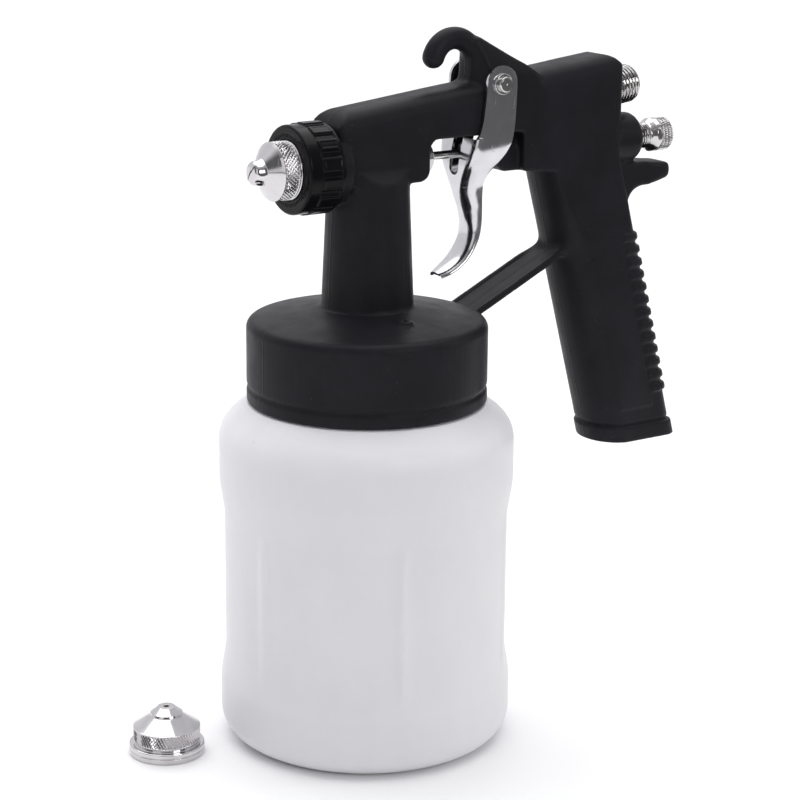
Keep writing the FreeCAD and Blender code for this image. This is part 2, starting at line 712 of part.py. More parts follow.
# ----------------------------------------------------------------------- trigger
def trigger_side(inset):
    """Side view of the trigger; inset moves the front inwards by the sheet."""
    front = [(35.9, 202.0, 0), (34.2, 192.6, 8.0), (34.3, 185.5, 14.0), (39.4, 171.0, 9.0),
             (35.8, 161.2, 14.0)]
    rear = [(35.8, 160.4, 4.0), (42.2, 168.6, 10.0), (41.8, 187.0, 6.0), (45.9, 193.2, 10.0),
            (50.4, 204.5, 12.0), (PIVOT_X + EYE_R, PIVOT_Z, 0)]
    arm_front = PIVOT_X - EYE_R - inset * 8
    corners = [(x + inset, z, radius) for x, z, radius in front]
    corners += [(27.0 + inset, 156.2, 0), (26.6 + inset * 2, 154.8, 0)]
    corners += [(x + inset * 4, z, radius) for x, z, radius in rear]
    corners += [(PIVOT_X + EYE_R + inset * 4, 240, 0), (arm_front, 240, 0)]
    if inset == 0:
        corners += [(arm_front, PIVOT_Z, 0), (37.2, 204.5, 3.0)]
    else:
        corners += [(arm_front, 208, 0), (35.9 + inset, 206, 0)]
    return corners


def trigger_front(inset):
    """Front view of the trigger: wide arms, narrow grip and a round tip."""
    half = TRIGGER_HALF - inset
    grip = TRIGGER_GRIP_HALF - inset
    low = 150
    return [(-grip, low, 0), (grip, low, 0), (grip, 184.0, 10.0), (half, 200.0, 10.0),
            (half, 240, 0), (-half, 240, 0), (-half, 200.0, 10.0), (-grip, 184.0, 10.0)]


def trigger():
    """Pressed channel trigger with two arms, a needle slot and a swept finger web."""
    outer = prism_y(trigger_side(0), -20, 20)
    outer = outer.common(prism_x(trigger_front(0), 0, 80))
    inner = prism_y(trigger_side(SHEET), -20, 20)
    inner = inner.common(prism_x(trigger_front(SHEET), 0, 80))
    shell = outer.cut(inner)
    # arms end in a round eye at the pivot
    eye = Part.makeCylinder(EYE_R, 40, V(PIVOT_X, -20, PIVOT_Z), Y_DIR)
    arms = joined([block(0, 80, -20, 20, 100, PIVOT_Z), eye])
    shell = shell.common(arms)
    slot = prism_x([(-2.6, 189.0, 2.59), (2.6, 189.0, 2.59), (2.6, 240, 0), (-2.6, 240, 0)],
                   30, 39)
    hole = Part.makeCylinder(PIVOT_R + FIT, 60, V(PIVOT_X, -30, PIVOT_Z), Y_DIR)
    between = TRIGGER_HALF - SHEET
    above_web = block(30, 60, -between, between, BARREL_UNDERSIDE - 1.2, 240)
    return shell.cut(slot).cut(hole).cut(above_web)


def trigger_pin():
    """Pivot pin with a head at each end, outside the arms."""
    reach = TRIGGER_HALF + 2.4
    shaft = Part.makeCylinder(PIVOT_R, 2 * reach, V(PIVOT_X, -reach, PIVOT_Z), Y_DIR)
    heads = []
    for side in (-1, 1):
        near = side * (TRIGGER_HALF + 0.9)
        heads.append(Part.makeCylinder(2.6, 1.5, V(PIVOT_X, near, PIVOT_Z), Y_DIR * side))
    return joined([shaft] + heads)


def pin_clips():
    """One spring washer on the pin against each arm."""
    rings = []
    for side in (-1, 1):
        near = V(PIVOT_X, side * (TRIGGER_HALF + 0.1), PIVOT_Z)
        ring = Part.makeCylinder(3.5, 0.8, near, Y_DIR * side)
        rings.append(ring.cut(Part.makeCylinder(PIVOT_R, 3, near - Y_DIR * side, Y_DIR * side)))
    return Part.makeCompound(rings)


# ------------------------------------------------------------------ bottle parts
def bottle():
    """Blow-moulded bottle: bulge, waist, bulge, shoulder and neck."""
    wall = BOTTLE_WALL
    outside = [
        (0, 0, 0), (BOTTLE_R, 0, 9.5), (BOTTLE_R, 21.0, 16.0), (WAIST_R, 31.0, 20.0),
        (WAIST_R, 79.0, 20.0), (BOTTLE_R, 90.0, 16.0), (BOTTLE_R, 109.0, 11.0),
        (NECK_R + 3.2, 116.6, 1.0), (NECK_R, 116.9, 0), (NECK_R, NECK_TOP, 0.6),
    ]
    inside = [
        (NECK_R - wall - 0.6, NECK_TOP, 0), (NECK_R - wall - 0.6, 115.2, 3.0),
        (BOTTLE_R - wall, 108.0, 9.5), (BOTTLE_R - wall, 89.6, 16.0),
        (WAIST_R - wall, 79.0, 20.0), (WAIST_R - wall, 31.0, 20.0),
        (BOTTLE_R - wall, 21.0, 16.0), (BOTTLE_R - wall, wall, 8.0), (0, wall, 0),
    ]
    return turned_z(outside + inside)


def jar_gasket():
    top = LID_TOP - LID_ROOF - 0.15
    ring = Part.makeCylinder(NECK_R - 0.4, GASKET_T, V(0, 0, top - GASKET_T))
    return ring.cut(Part.makeCylinder(30.5, 10, V(0, 0, top - 5)))


def siphon_tube():
    length = TUBE_TOP - TUBE_BOTTOM
    tube = Part.makeCylinder(TUBE_R, length, V(0, 0, TUBE_BOTTOM))
    return tube.cut(Part.makeCylinder(TUBE_R - TUBE_WALL, length + 2, V(0, 0, TUBE_BOTTOM - 1)))


# --------------------------------------------------------------------- spare cap
def spare_cap():
    """Round-spray cap lying on its flange beside the bottle."""
    profile = [
        (0, 0, 0), (12.6, 0, 0.4), (12.6, 3.6, 0.4), (10.4, 3.6, 0), (10.4, 4.6, 0),
        (11.2, 4.6, 0.3), (11.2, 9.4, 0.5), (5.3, 13.2, 0), (5.1, 14.2, 0.3),
        (2.7, 16.0, 0.2), (0, 16.0, 0),
    ]
    hollow = [(0, -1, 0), (9.0, -1, 0), (9.0, 6.0, 1.0), (3.2, 12.0, 0), (1.3, 13.2, 0),
              (1.3, 17.0, 0), (0, 17.0, 0)]
    cap = turned_z(profile).cut(turned_z(hollow))
    cap.translate(V(SPARE_X, SPARE_Y, 0))
    return cap


# ------------------------------------------------------------------------ springs
def valve_spring():
    return coil(4.2, 0.45, PLUNGER_REAR + 0.05, GLAND_X - 1.05, 6)


def needle_spring():
    return coil(2.6, 0.4, GLAND_X + GLAND_T + 2.65, 98.95, 9)


NODES = {
    "gun_body": gun_body,
    "fluid_nozzle": fluid_nozzle,
    "air_baffle": air_baffle,
    "air_cap": air_cap,
    "cap_washer": cap_washer,
    "retaining_ring": retaining_ring,
    "needle": needle,
    "needle_collar": needle_collar,
    "spring_collar": spring_collar,
    "needle_packing": needle_packing,
    "packing_nut": packing_nut,
    "valve_plunger": valve_plunger,
    "valve_seal": valve_seal,
    "valve_spring": valve_spring,
    "valve_gland": valve_gland,
    "needle_spring": needle_spring,
    "spring_seat": spring_seat,
    "adjuster_bush": adjuster_bush,
    "adjuster_knob": adjuster_knob,
    "inlet_nipple": inlet_nipple,
    "inlet_washer": inlet_washer,
    "trigger": trigger,
    "trigger_pin": trigger_pin,
    "pin_clips": pin_clips,
    "bottle": bottle,
    "jar_gasket": jar_gasket,
    "siphon_tube": siphon_tube,
    "spare_cap": spare_cap,
}

for name, make in NODES.items():
    shape = make()
    solids = len(shape.Solids)
    print(name, "solids", solids, "valid", shape.isValid(), "volume", round(shape.Volume, 1))
    shape.exportStep("parts/" + name + ".step")
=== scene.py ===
"""Looks of the suction-feed spray gun: detailed pieces, materials, light and camera.

Lengths are millimetres in the CAD's frame until a mesh is made: origin at the centre
of the bottle's base, +Z up, nozzle towards -X.
"""

import math
import bmesh
import bpy
import numpy as np
from mathutils import Matrix, Vector


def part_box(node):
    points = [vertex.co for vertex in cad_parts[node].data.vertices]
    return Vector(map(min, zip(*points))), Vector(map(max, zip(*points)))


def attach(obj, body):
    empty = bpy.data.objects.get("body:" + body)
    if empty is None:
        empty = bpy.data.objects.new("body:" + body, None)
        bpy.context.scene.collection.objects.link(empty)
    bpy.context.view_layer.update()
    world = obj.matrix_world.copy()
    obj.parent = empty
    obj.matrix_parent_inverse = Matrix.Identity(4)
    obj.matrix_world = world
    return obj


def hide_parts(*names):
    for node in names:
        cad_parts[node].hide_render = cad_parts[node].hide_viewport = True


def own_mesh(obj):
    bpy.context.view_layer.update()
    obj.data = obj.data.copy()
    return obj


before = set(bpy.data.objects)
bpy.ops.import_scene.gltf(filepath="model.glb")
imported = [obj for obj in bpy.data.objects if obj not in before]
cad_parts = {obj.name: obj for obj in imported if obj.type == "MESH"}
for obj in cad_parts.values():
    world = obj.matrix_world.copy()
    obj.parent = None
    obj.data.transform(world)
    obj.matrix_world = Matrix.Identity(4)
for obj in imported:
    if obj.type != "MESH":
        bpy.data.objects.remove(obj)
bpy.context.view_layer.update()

MM = 0.001
TURN = 2 * math.pi
WELD = 2e-6                      # metres, closer points of a CAD mesh are one point


def middle_of(node):
    """Centre of a CAD node's box, to a tenth of a millimetre."""
    low_corner, high_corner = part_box(node)
    return [round((a + b) / 2 / MM, 1) for a, b in zip(low_corner, high_corner)]


NEEDLE_Z = middle_of("needle")[2]
PIVOT = (middle_of("trigger_pin")[0], middle_of("trigger_pin")[2])
SPARE_PLACE = middle_of("spare_cap")[:2]
INLET_SLOPE = 0.118              # rise of the air inlet's axis towards the rear
INLET_END = (108.0, 215.0)       # x and z of its mouth
INLET_FACE_X = 98.5              # where it leaves the housing
INLET_START = (INLET_FACE_X, INLET_END[1] + INLET_SLOPE * (INLET_FACE_X - INLET_END[0]))


# ------------------------------------------------------------------ mesh helpers
def rounded(corners, closed=False, steps=6):
    """Points along an outline of (u, v, radius) corners, each corner rounded by an arc."""
    points = []
    count = len(corners)
    for i, corner in enumerate(corners):
        here = np.array(corner[:2], float)
        radius = corner[2] if len(corner) > 2 else 0
        if radius <= 0 or (not closed and i in (0, count - 1)):
            points.append(here)
            continue
        back = np.array(corners[i - 1][:2], float) - here
        ahead = np.array(corners[(i + 1) % count][:2], float) - here
        back /= np.linalg.norm(back)
        ahead /= np.linalg.norm(ahead)
        angle = math.acos(max(-1.0, min(1.0, float(back @ ahead))))
        sweep = math.pi - angle
        if sweep < 1e-3:
            points.append(here)
            continue
        reach = radius / math.tan(angle / 2)
        inward = (back + ahead) / np.linalg.norm(back + ahead)
        centre = here + inward * radius / math.sin(angle / 2)
        start = here + back * reach - centre
        end = here + ahead * reach - centre
        for k in range(steps + 1):
            t = k / steps
            points.append(centre + (start * math.sin((1 - t) * sweep)
                                    + end * math.sin(t * sweep)) / math.sin(sweep))
    return np.array(points)


def dense(points, step, closed=False):
    """The same outline with no stretch longer than step."""
    out = []
    count = len(points)
    for i in range(count if closed else count - 1):
        a = points[i]
        b = points[(i + 1) % count]
        parts = max(1, math.ceil(np.linalg.norm(b - a) / step))
        for k in range(parts):
            out.append(a + (b - a) * k / parts)
    if not closed:
        out.append(points[-1])
    return np.array(out)


def smooth_step(x, low, high):
    t = np.clip((x - low) / (high - low), 0.0, 1.0)
    return t * t * (3 - 2 * t)


def wave(phase):
    """Triangle wave from 0 to 1 with a period of 1."""
    return np.abs((phase % 1.0) * 2 - 1)


def mesh_of(name, points, faces):
    mesh = bpy.data.meshes.new(name)
    mesh.from_pydata((np.asarray(points) * MM).tolist(), [], faces)
    bm = bmesh.new()
    bm.from_mesh(mesh)
    bmesh.ops.remove_doubles(bm, verts=bm.verts, dist=1e-7)
    bmesh.ops.recalc_face_normals(bm, faces=bm.faces)
    bm.to_mesh(mesh)
    bm.free()
    return mesh


def grid_faces(rows, columns, loop_rows=False, loop_columns=False, first=0):
    """Quads of a grid of points, row by row."""
    faces = []
    for i in range(rows if loop_rows else rows - 1):
        for j in range(columns if loop_columns else columns - 1):
            a = first + i * columns
            b = first + ((i + 1) % rows) * columns
            k = (j + 1) % columns
            faces.append((a + j, a + k, b + k, b + j))
    return faces


def lathe(outline, axis="x", steps=96, relief=None, closed=False, centre=(0.0, 0.0)):
    """Mesh data turned from (along, radius) points. relief(along, radius, angle)
    gives what is added to the radius."""
    angle = np.arange(steps) * TURN / steps
    along, turn = np.meshgrid(outline[:, 0], angle, indexing="ij")
    radius = np.repeat(outline[:, 1:2], steps, axis=1)
    if relief is not None:
        radius = radius + relief(along, radius, turn)
    radius = np.maximum(radius, 0.0)
    side = radius * np.cos(turn)
    rise = radius * np.sin(turn)
    if axis == "x":
        grid = np.stack([along, side, NEEDLE_Z + rise], -1)
    else:
        grid = np.stack([centre[0] + side, centre[1] + rise, along], -1)
    faces = grid_faces(len(outline), steps, loop_rows=closed, loop_columns=True)
    return grid.reshape(-1, 3), faces


def add_piece(name, mesh, material, body, nodes=(), sharp=38.0):
    """Makes the object, shades it, parents it to its body's empty and hides the CAD nodes it
    stands for.
    """
    obj = bpy.data.objects.new(name, mesh)
    bpy.context.scene.collection.objects.link(obj)
    finish_piece(obj, material, sharp)
    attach(obj, body)
    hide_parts(*nodes)
    return obj


def finish_piece(obj, material, sharp):
    mesh = obj.data
    mesh.materials.clear()
    mesh.materials.append(material)
    mesh.polygons.foreach_set("use_smooth", [True] * len(mesh.polygons))
    mesh.set_sharp_from_angle(angle=math.radians(sharp))


def loose(name, mesh):
    """An object that only helps to shape others."""
    obj = bpy.data.objects.new(name, mesh)
    bpy.context.scene.collection.objects.link(obj)
    return obj


def taken_from(obj):
    """The mesh that the object's modifiers make. The object is removed."""
    bpy.context.view_layer.update()
    evaluated = obj.evaluated_get(bpy.context.evaluated_depsgraph_get())
    mesh = bpy.data.meshes.new_from_object(evaluated)
    bpy.data.objects.remove(obj)
    return mesh


def modified(mesh, kind, **settings):
    """What one modifier makes of the mesh."""
    obj = loose("work", mesh)
    modifier = obj.modifiers.new("work", kind)
    for key, value in settings.items():
        setattr(modifier, key, value)
    return taken_from(obj)


def cad_copy(node):
    """A copy of a CAD node's mesh with its faces joined along their edges."""
    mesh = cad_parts[node].data.copy()
    bm = bmesh.new()
    bm.from_mesh(mesh)
    bmesh.ops.remove_doubles(bm, verts=bm.verts, dist=WELD)
    bm.to_mesh(mesh)
    bm.free()
    return mesh


def read_points(mesh):
    points = np.empty(len(mesh.vertices) * 3)
    mesh.vertices.foreach_get("co", points)
    return points.reshape(-1, 3) / MM


def write_points(mesh, points):
    mesh.vertices.foreach_set("co", (points * MM).ravel())
    mesh.update()


def carved(mesh, cutters):
    """The mesh with the cutters' meshes taken away."""
    target = loose("carve_target", mesh)
    helpers = []
    for i, cutter in enumerate(cutters):
        helper = loose("carve_%d" % i, cutter)
        cut = target.modifiers.new("cut_%d" % i, "BOOLEAN")
        cut.operation = "DIFFERENCE"
        cut.solver = "EXACT"
        cut.object = helper
        helpers.append(helper)
    result = taken_from(target)
    for helper in helpers:
        bpy.data.objects.remove(helper)
    return result


def bar(outline, low, high, place):
    """Closed (u, v) outline swept from low to high; place(u, v, w) gives the point."""
    count = len(outline)
    points = [place(u, v, low) for u, v in outline] + [place(u, v, high) for u, v in outline]
    faces = grid_faces(2, count, loop_columns=True)
    faces += [tuple(range(count))[::-1], tuple(range(count, 2 * count))]
    return mesh_of("bar", points, faces)


def joined_mesh(name, parts):
    """One mesh from several (points, faces) pairs."""
    points = []
    faces = []
    for part_points, part_faces in parts:
        first = len(points)
        points.extend(np.asarray(part_points).tolist())
        faces.extend([tuple(i + first for i in face) for face in part_faces])
    return mesh_of(name, points, faces)


# --------------------------------------------------------------------- materials
class Shade:
    """A procedural material under construction."""

    def __init__(self, name, **sockets):
        self.material = bpy.data.materials.new(name)
        self.material.use_nodes = True
        self.tree = self.material.node_tree
        self.shader = self.tree.nodes["Principled BSDF"]
        for socket, value in sockets.items():
            self.shader.inputs[socket.replace("_", " ")].default_value = value
        self.place = self.node("ShaderNodeTexCoord").outputs["Object"]

    def node(self, kind, inputs=None, **settings):
        made = self.tree.nodes.new(kind)
        for key, value in settings.items():
            setattr(made, key, value)
        self.fill(made, inputs or {})
        return made

    def fill(self, made, inputs):
        """Links or sets each input of the shader node."""
        for key, value in inputs.items():
            if isinstance(value, bpy.types.NodeSocket):
                self.tree.links.new(value, made.inputs[key])
            else:
                made.inputs[key].default_value = value

    def noise(self, scale, detail=3.0, roughness=0.55, stretch=None):
        place = self.place
        if stretch:
            place = self.node("ShaderNodeMapping", {"Vector": place, "Scale": stretch}).outputs[0]
        return self.node("ShaderNodeTexNoise", {"Vector": place, "Scale": scale,
                                                "Detail": detail,
                                                "Roughness": roughness}).outputs["Fac"]

    def spread(self, value, low, high, to_low, to_high):
        return self.node("ShaderNodeMapRange", {"Value": value, "From Min": low,
                                                "From Max": high, "To Min": to_low,
                                                "To Max": to_high}).outputs[0]

    def math(self, operation, a, b=0.0):
        return self.node("ShaderNodeMath", {0: a, 1: b}, operation=operation).outputs[0]

    def mix(self, factor, a, b):
        made = self.node("ShaderNodeMix", data_type="RGBA")
        self.fill(made, {0: factor, 6: a, 7: b})
        return made.outputs[2]

    def specks(self, scale, size):
        """Small scattered dots: 1 on a dot and 0 elsewhere."""
        cells = self.node("ShaderNodeTexVoronoi", {"Vector": self.place, "Scale": scale})
        return self.spread(cells.outputs["Distance"], size, size * 0.5, 0.0, 1.0)

    def scratches(self, scale, stretch, width):
        """Thin lines where a stretched noise passes its middle, in scattered patches."""
        lines = self.noise(scale, 0.0, 0.5, stretch)
        distance = self.math("ABSOLUTE", self.math("SUBTRACT", lines, 0.5))
        near = self.spread(distance, 0.0, width, 1.0, 0.0)
        patches = self.spread(self.noise(scale * 0.6, 1.0), 0.60, 0.66, 0.0, 1.0)
        return self.math("MULTIPLY", near, patches)

    def colour(self, socket):
        self.tree.links.new(socket, self.shader.inputs["Base Color"])

    def rough(self, socket):
        self.tree.links.new(socket, self.shader.inputs["Roughness"])

    def bump(self, height, distance, strength=1.0):
        bump = self.node("ShaderNodeBump", {"Height": height, "Strength": strength,
                                            "Distance": distance})
        self.tree.links.new(bump.outputs["Normal"], self.shader.inputs["Normal"])


def grey(value, tint=0.0):
    return (value, value, value * (1 + tint), 1.0)


def black_plastic(name, dark, light, rough_low, rough_high, gloss, seam=False):
    """Moulded black plastic: faint grain, tone drift, scuffs, dust and a parting line."""
    shade = Shade(name, IOR=1.46, Specular_IOR_Level=gloss)
    drift = shade.noise(55.0, 4.0)
    tone = shade.mix(shade.spread(drift, 0.35, 0.65, 0.0, 1.0), grey(dark, 0.2), grey(light, 0.24))
    scuffs = shade.scratches(150.0, (1.0, 1.0, 0.12), 0.004)
    dust = shade.specks(300.0, 0.045)
    scuffed = shade.mix(shade.math("MULTIPLY", scuffs, 0.18), tone, grey(0.05))
    shade.colour(shade.mix(shade.math("MULTIPLY", dust, 0.5), scuffed, grey(0.16)))
    fine = shade.noise(2600.0, 2.0)
    rough = shade.spread(shade.noise(140.0, 4.0), 0.3, 0.7, rough_low, rough_high)
    shade.rough(shade.math("ADD", rough, shade.math("MULTIPLY", scuffs, 0.12)))
    height = shade.math("MULTIPLY", fine, 0.25)
    swell = shade.math("MULTIPLY", shade.noise(95.0, 2.0), 0.5)
    height = shade.math("ADD", height, swell)
    if seam:
        axes = shade.node("ShaderNodeSeparateXYZ", {"Vector": shade.place})
        line = shade.spread(shade.math("ABSOLUTE", axes.outputs["Y"]), 0.0, 0.00028, 1.0, 0.0)
        height = shade.math("ADD", height, shade.math("MULTIPLY", line, 1.6))
    shade.bump(height, 0.00006)
    return shade.material


def metal(name, tone, tint, rough_low, rough_high, scratch=0.5, brushed=None):
    """Plated or turned metal with uneven polish, fine scratches and tiny pits."""
    shade = Shade(name, Metallic=1.0)
    drift = shade.spread(shade.noise(160.0, 4.0), 0.3, 0.7, 0.0, 1.0)
    low = (tone * 0.88, tone * 0.88 * tint[0], tone * 0.88 * tint[1], 1.0)
    high = (tone, tone * tint[0], tone * tint[1], 1.0)
    lines = shade.scratches(420.0, (1.0, 1.0, 0.12), 0.008)
    pits = shade.specks(900.0, 0.06)
    stained = shade.mix(drift, low, high)
    stained = shade.mix(shade.math("MULTIPLY", pits, 0.35), stained, grey(tone * 0.45))
    shade.colour(stained)
    polish = shade.spread(shade.noise(300.0, 5.0), 0.3, 0.7, rough_low, rough_high)
    shade.rough(shade.math("ADD", polish, shade.math("MULTIPLY", lines, scratch * 0.4)))
    height = shade.math("MULTIPLY", lines, -scratch)
    height = shade.math("ADD", height, shade.math("MULTIPLY", shade.noise(60.0, 2.0), 0.6))
    if brushed:
        height = shade.math("ADD", height, shade.math("MULTIPLY",
                                                      shade.noise(900.0, 3.0, 0.5, brushed), 0.5))
    shade.bump(height, 0.00002)
    return shade.material


def bottle_plastic():
    """Translucent off-white blow-moulded plastic."""
    shade = Shade("bottle_translucent", IOR=1.5, Subsurface_Weight=0.55, Subsurface_Scale=0.006,
                  Specular_IOR_Level=0.4)
    shade.shader.inputs["Subsurface Radius"].default_value = (1.0, 0.95, 1.0)
    cloud = shade.spread(shade.noise(28.0, 4.0, 0.6, (1.0, 1.0, 0.5)), 0.3, 0.7, 0.0, 1.0)
    body = shade.mix(cloud, (0.80, 0.79, 0.835, 1.0), (0.85, 0.84, 0.88, 1.0))
    dirt = shade.specks(70.0, 0.03)
    shade.colour(shade.mix(shade.math("MULTIPLY", dirt, 0.35), body, grey(0.4)))
    shade.rough(shade.spread(shade.noise(170.0, 4.0), 0.3, 0.7, 0.34, 0.46))
    flow = shade.math("MULTIPLY", shade.noise(120.0, 3.0, 0.5, (1.0, 1.0, 0.15)), 0.7)
    skin = shade.math("MULTIPLY", shade.noise(1500.0, 2.0), 0.2)
    shade.bump(shade.math("ADD", flow, skin), 0.00008)
    return shade.material


def soft_plastic(name, low, high, rough, scale=240.0):
    """Plain moulded or extruded plastic or rubber with a mottled tone."""
    shade = Shade(name, Specular_IOR_Level=0.35)
    mottle = shade.spread(shade.noise(scale, 4.0), 0.3, 0.7, 0.0, 1.0)
    shade.colour(shade.mix(mottle, low, high))
    shade.rough(shade.spread(shade.noise(scale * 2, 3.0), 0.3, 0.7, rough - 0.06, rough + 0.08))
    shade.bump(shade.noise(scale * 6, 3.0), 0.00003)
    return shade.material


NICKEL_TINT = (0.985, 0.975)
BODY_BLACK = black_plastic("body_black", 0.011, 0.015, 0.38, 0.48, 0.12, seam=True)
RING_BLACK = black_plastic("ring_black", 0.004, 0.006, 0.18, 0.26, 0.12)
CHROME = metal("chrome_plate", 0.62, NICKEL_TINT, 0.10, 0.18)
CAP_CHROME = metal("cap_plate", 0.66, (0.975, 0.99), 0.06, 0.12, 0.35)
TRIGGER_CHROME = metal("trigger_plate", 0.66, (0.995, 1.03), 0.13, 0.2, 0.9)
STEEL = metal("steel", 0.62, (0.99, 0.98), 0.14, 0.24, 0.4, (0.05, 1.0, 1.0))
BRASS = metal("brass", 0.62, (0.72, 0.36), 0.2, 0.32, 0.4)
BOTTLE_WHITE = bottle_plastic()
WHITE_PLASTIC = soft_plastic("white_plastic", grey(0.62), grey(0.72), 0.4)
TUBE_PLASTIC = soft_plastic("tube_plastic", (0.6, 0.62, 0.62, 1), (0.7, 0.71, 0.7, 1), 0.3, 120.0)
RUBBER = soft_plastic("rubber", grey(0.018), grey(0.03), 0.6)


# -------------------------------------------------------------------- gun's body
def relaxed(points, edges, weight, rounds):
    """Points pulled towards their neighbours' mean, each by its own weight."""
    count = np.bincount(edges.ravel(), minlength=len(points))
    pull = (weight / np.maximum(count, 1))[:, None]
    for _ in range(rounds):
        total = np.empty_like(points)
        for k in range(3):
            column = points[:, k]
            total[:, k] = (np.bincount(edges[:, 0], column[edges[:, 1]], len(points))
                           + np.bincount(edges[:, 1], column[edges[:, 0]], len(points)))
        points = points * (1 - weight)[:, None] + total * pull
    return points


def near_ball(points, centre, inner, outer):
    """1 inside a ball of radius inner, fading to 0 at outer."""
    distance = np.linalg.norm(points - np.array(centre), axis=1)
    return 1 - smooth_step(distance, inner, outer)


HANDLE_LEAN = 0.2715             # how far the handle runs back for each mm down
HANDLE_FRONT = 81.6              # x of its front at HANDLE_REF_Z
HANDLE_REF_Z = 133.8
FOOT_TOP = 94.1                  # height of the top of the handle's foot
GRIP_TOP = 172.0                 # the handle's own surfaces end below this height
BODY_TRIANGLES = 190000          # most that the finished body may have
# centre, and the radii where the blending of joins is full and where it ends
BLENDS = (
    ((44, -9, 226), 7, 14), ((44, 9, 226), 7, 14), ((40, 0, 221), 6, 12),
    ((78, -8, 164), 6, 13), ((78, 8, 164), 6, 13), ((104, 0, 182), 6, 13),
    ((66, 0, 221), 7, 14), ((122, 0, 184), 7, 12),
)


def handle_depth(points):
    """Distance behind the handle's front at each point's own height."""
    return points[:, 0] - HANDLE_FRONT - HANDLE_LEAN * (HANDLE_REF_Z - points[:, 2])


def grip_relief(points):
    """Raised panel on each side of the grip, and the groove above its foot."""
    x, y, z = points.T
    behind = handle_depth(points)
    on_handle = (z < GRIP_TOP) & (behind > -3) & (np.abs(y) < 15) & (x > 66)
    panel = (smooth_step(behind, 8.0, 9.2) * (1 - smooth_step(behind, 22.6, 23.8))
             * smooth_step(z, 100, 101.5) * (1 - smooth_step(z, 156, 158)))
    raised = 0.35 * panel * on_handle * (np.abs(y) > 9.5)
    groove = 0.55 * np.exp(-((z - FOOT_TOP - 0.7) / 0.6) ** 2) * on_handle
    return raised - groove


def body_shell():
    """The moulding: the CAD solid remeshed as one skin, with its joins blended."""
    voxel = 0.48
    mesh = modified(cad_copy("gun_body"), "REMESH", mode="VOXEL", voxel_size=voxel * MM,
                    adaptivity=0.0)
    points = read_points(mesh)
    edges = np.empty(len(mesh.edges) * 2, np.int64)
    mesh.edges.foreach_get("vertices", edges)
    edges = edges.reshape(-1, 2)
    # light everywhere, then stronger where the real moulding blends softly
    points = relaxed(points, edges, np.full(len(points), 0.5), 2)
    soft = np.maximum.reduce([near_ball(points, *blend) for blend in BLENDS])
    points = relaxed(points, edges, 0.55 * soft, 26)
    write_points(mesh, points)
    normals = np.empty(len(points) * 3, np.float32)
    mesh.vertex_normals.foreach_get("vector", normals)
    normals = normals.reshape(-1, 3).astype(float)
    points = points + normals * grip_relief(points)[:, None]
    write_points(mesh, points)
    triangles = sum(len(p.vertices) - 2 for p in mesh.polygons)
    result = modified(mesh, "DECIMATE", ratio=min(1.0, BODY_TRIANGLES / triangles))
    add_piece("body_shell", result, BODY_BLACK, "gun", ["gun_body"], 50.0)


# ------------------------------------------------------------- nozzle, caps, ring
def knurl(starts, pitch_angle, depth, low, high, both=True):
    """Relief of a knurled band from low to high along the axis."""
    def relief(along, radius, angle):
        turns = angle / TURN * starts
        climb = along * pitch_angle
        first = wave(turns + climb)
        second = wave(turns - climb) if both else 1.0
        band = (smooth_step(along, low, low + 0.35) * (1 - smooth_step(along, high - 0.35, high)))
        return -depth * (1 - np.minimum(first, second)) * band
    return relief


def fan_cap():
    """Fan-spray cap: flange, knurled collar, cone, and slotted dome with air holes."""
    outline = rounded([
        (-41.9, 0.0), (-41.9, 2.2), (-41.2, 2.2, 0.2), (-40.8, 3.0), (-33.5, 8.6, 1.0),
        (-26.1, 8.6, 0.2), (-26.1, 11.6, 0.25), (-28.0, 11.6, 0.2), (-28.0, 9.5, 0.15),
        (-30.7, 9.5, 0.2), (-30.9, 9.2, 0.1), (-31.2, 9.2, 0.1), (-31.4, 9.5, 0.1),
        (-36.7, 9.5, 0.25), (-37.4, 8.8, 0.2), (-40.5, 4.6, 0.5), (-41.2, 4.25, 0.4),
        (-43.9, 3.7, 1.8), (-44.4, 0.0),
    ])
    outline = dense(outline, 0.16)
    collar = 9.5
    diamonds = 46
    knurled = knurl(diamonds, 0.78, 0.5, -36.75, -31.35)

    def relief(along, radius, angle):
        outer = np.abs(radius - collar) < 0.05
        return np.where(outer, knurled(along, radius, angle), 0.0)

    points, faces = lathe(outline, steps=diamonds * 10, relief=relief)
    mesh = mesh_of("fan_cap", points, faces)
    tilt = math.radians(40)
    along_slit = np.array([0, -math.sin(tilt), math.cos(tilt)])
    over_slit = np.array([0, math.cos(tilt), math.sin(tilt)])

    def slit_place(u, v, w):
        return np.array([u, 0, NEEDLE_Z]) + along_slit * v + over_slit * w

    def oval_place(u, v, w):
        return np.array([w, 0, NEEDLE_Z]) + over_slit * u + along_slit * v

    slit = bar([(-47, -6), (-43.15, -6), (-43.15, 6), (-47, 6)], -0.28, 0.28, slit_place)
    bore = bar([(2.2 * math.cos(a), 2.2 * math.sin(a)) for a in np.arange(32) * TURN / 32],
               -43.2, -41.0, lambda u, v, w: np.array([w, u, NEEDLE_Z + v]))
    cutters = [slit, bore]
    for side in (-1, 1):
        oval = [(3.75 * side + 0.55 * math.cos(a), 1.0 * math.sin(a))
                for a in np.arange(20) * TURN / 20]
        cutters.append(bar(oval, -47, -40.4, oval_place))
    mesh = carved(mesh, cutters)
    add_piece("fan_cap", mesh, CAP_CHROME, "air_cap", ["air_cap"], 32.0)


def slip_washer():
    """Flat washer that lets the ring turn over the cap's flange."""
    outline = rounded([(-28.9, 9.9, 0.15), (-28.9, 11.6, 0.15), (-28.1, 11.6, 0.15),
                       (-28.1, 9.9, 0.15)], closed=True, steps=3)
    points, faces = lathe(outline, closed=True, steps=96)
    add_piece("slip_washer", mesh_of("slip_washer", points, faces), WHITE_PLASTIC,
              "cap_washer", ["cap_washer"])


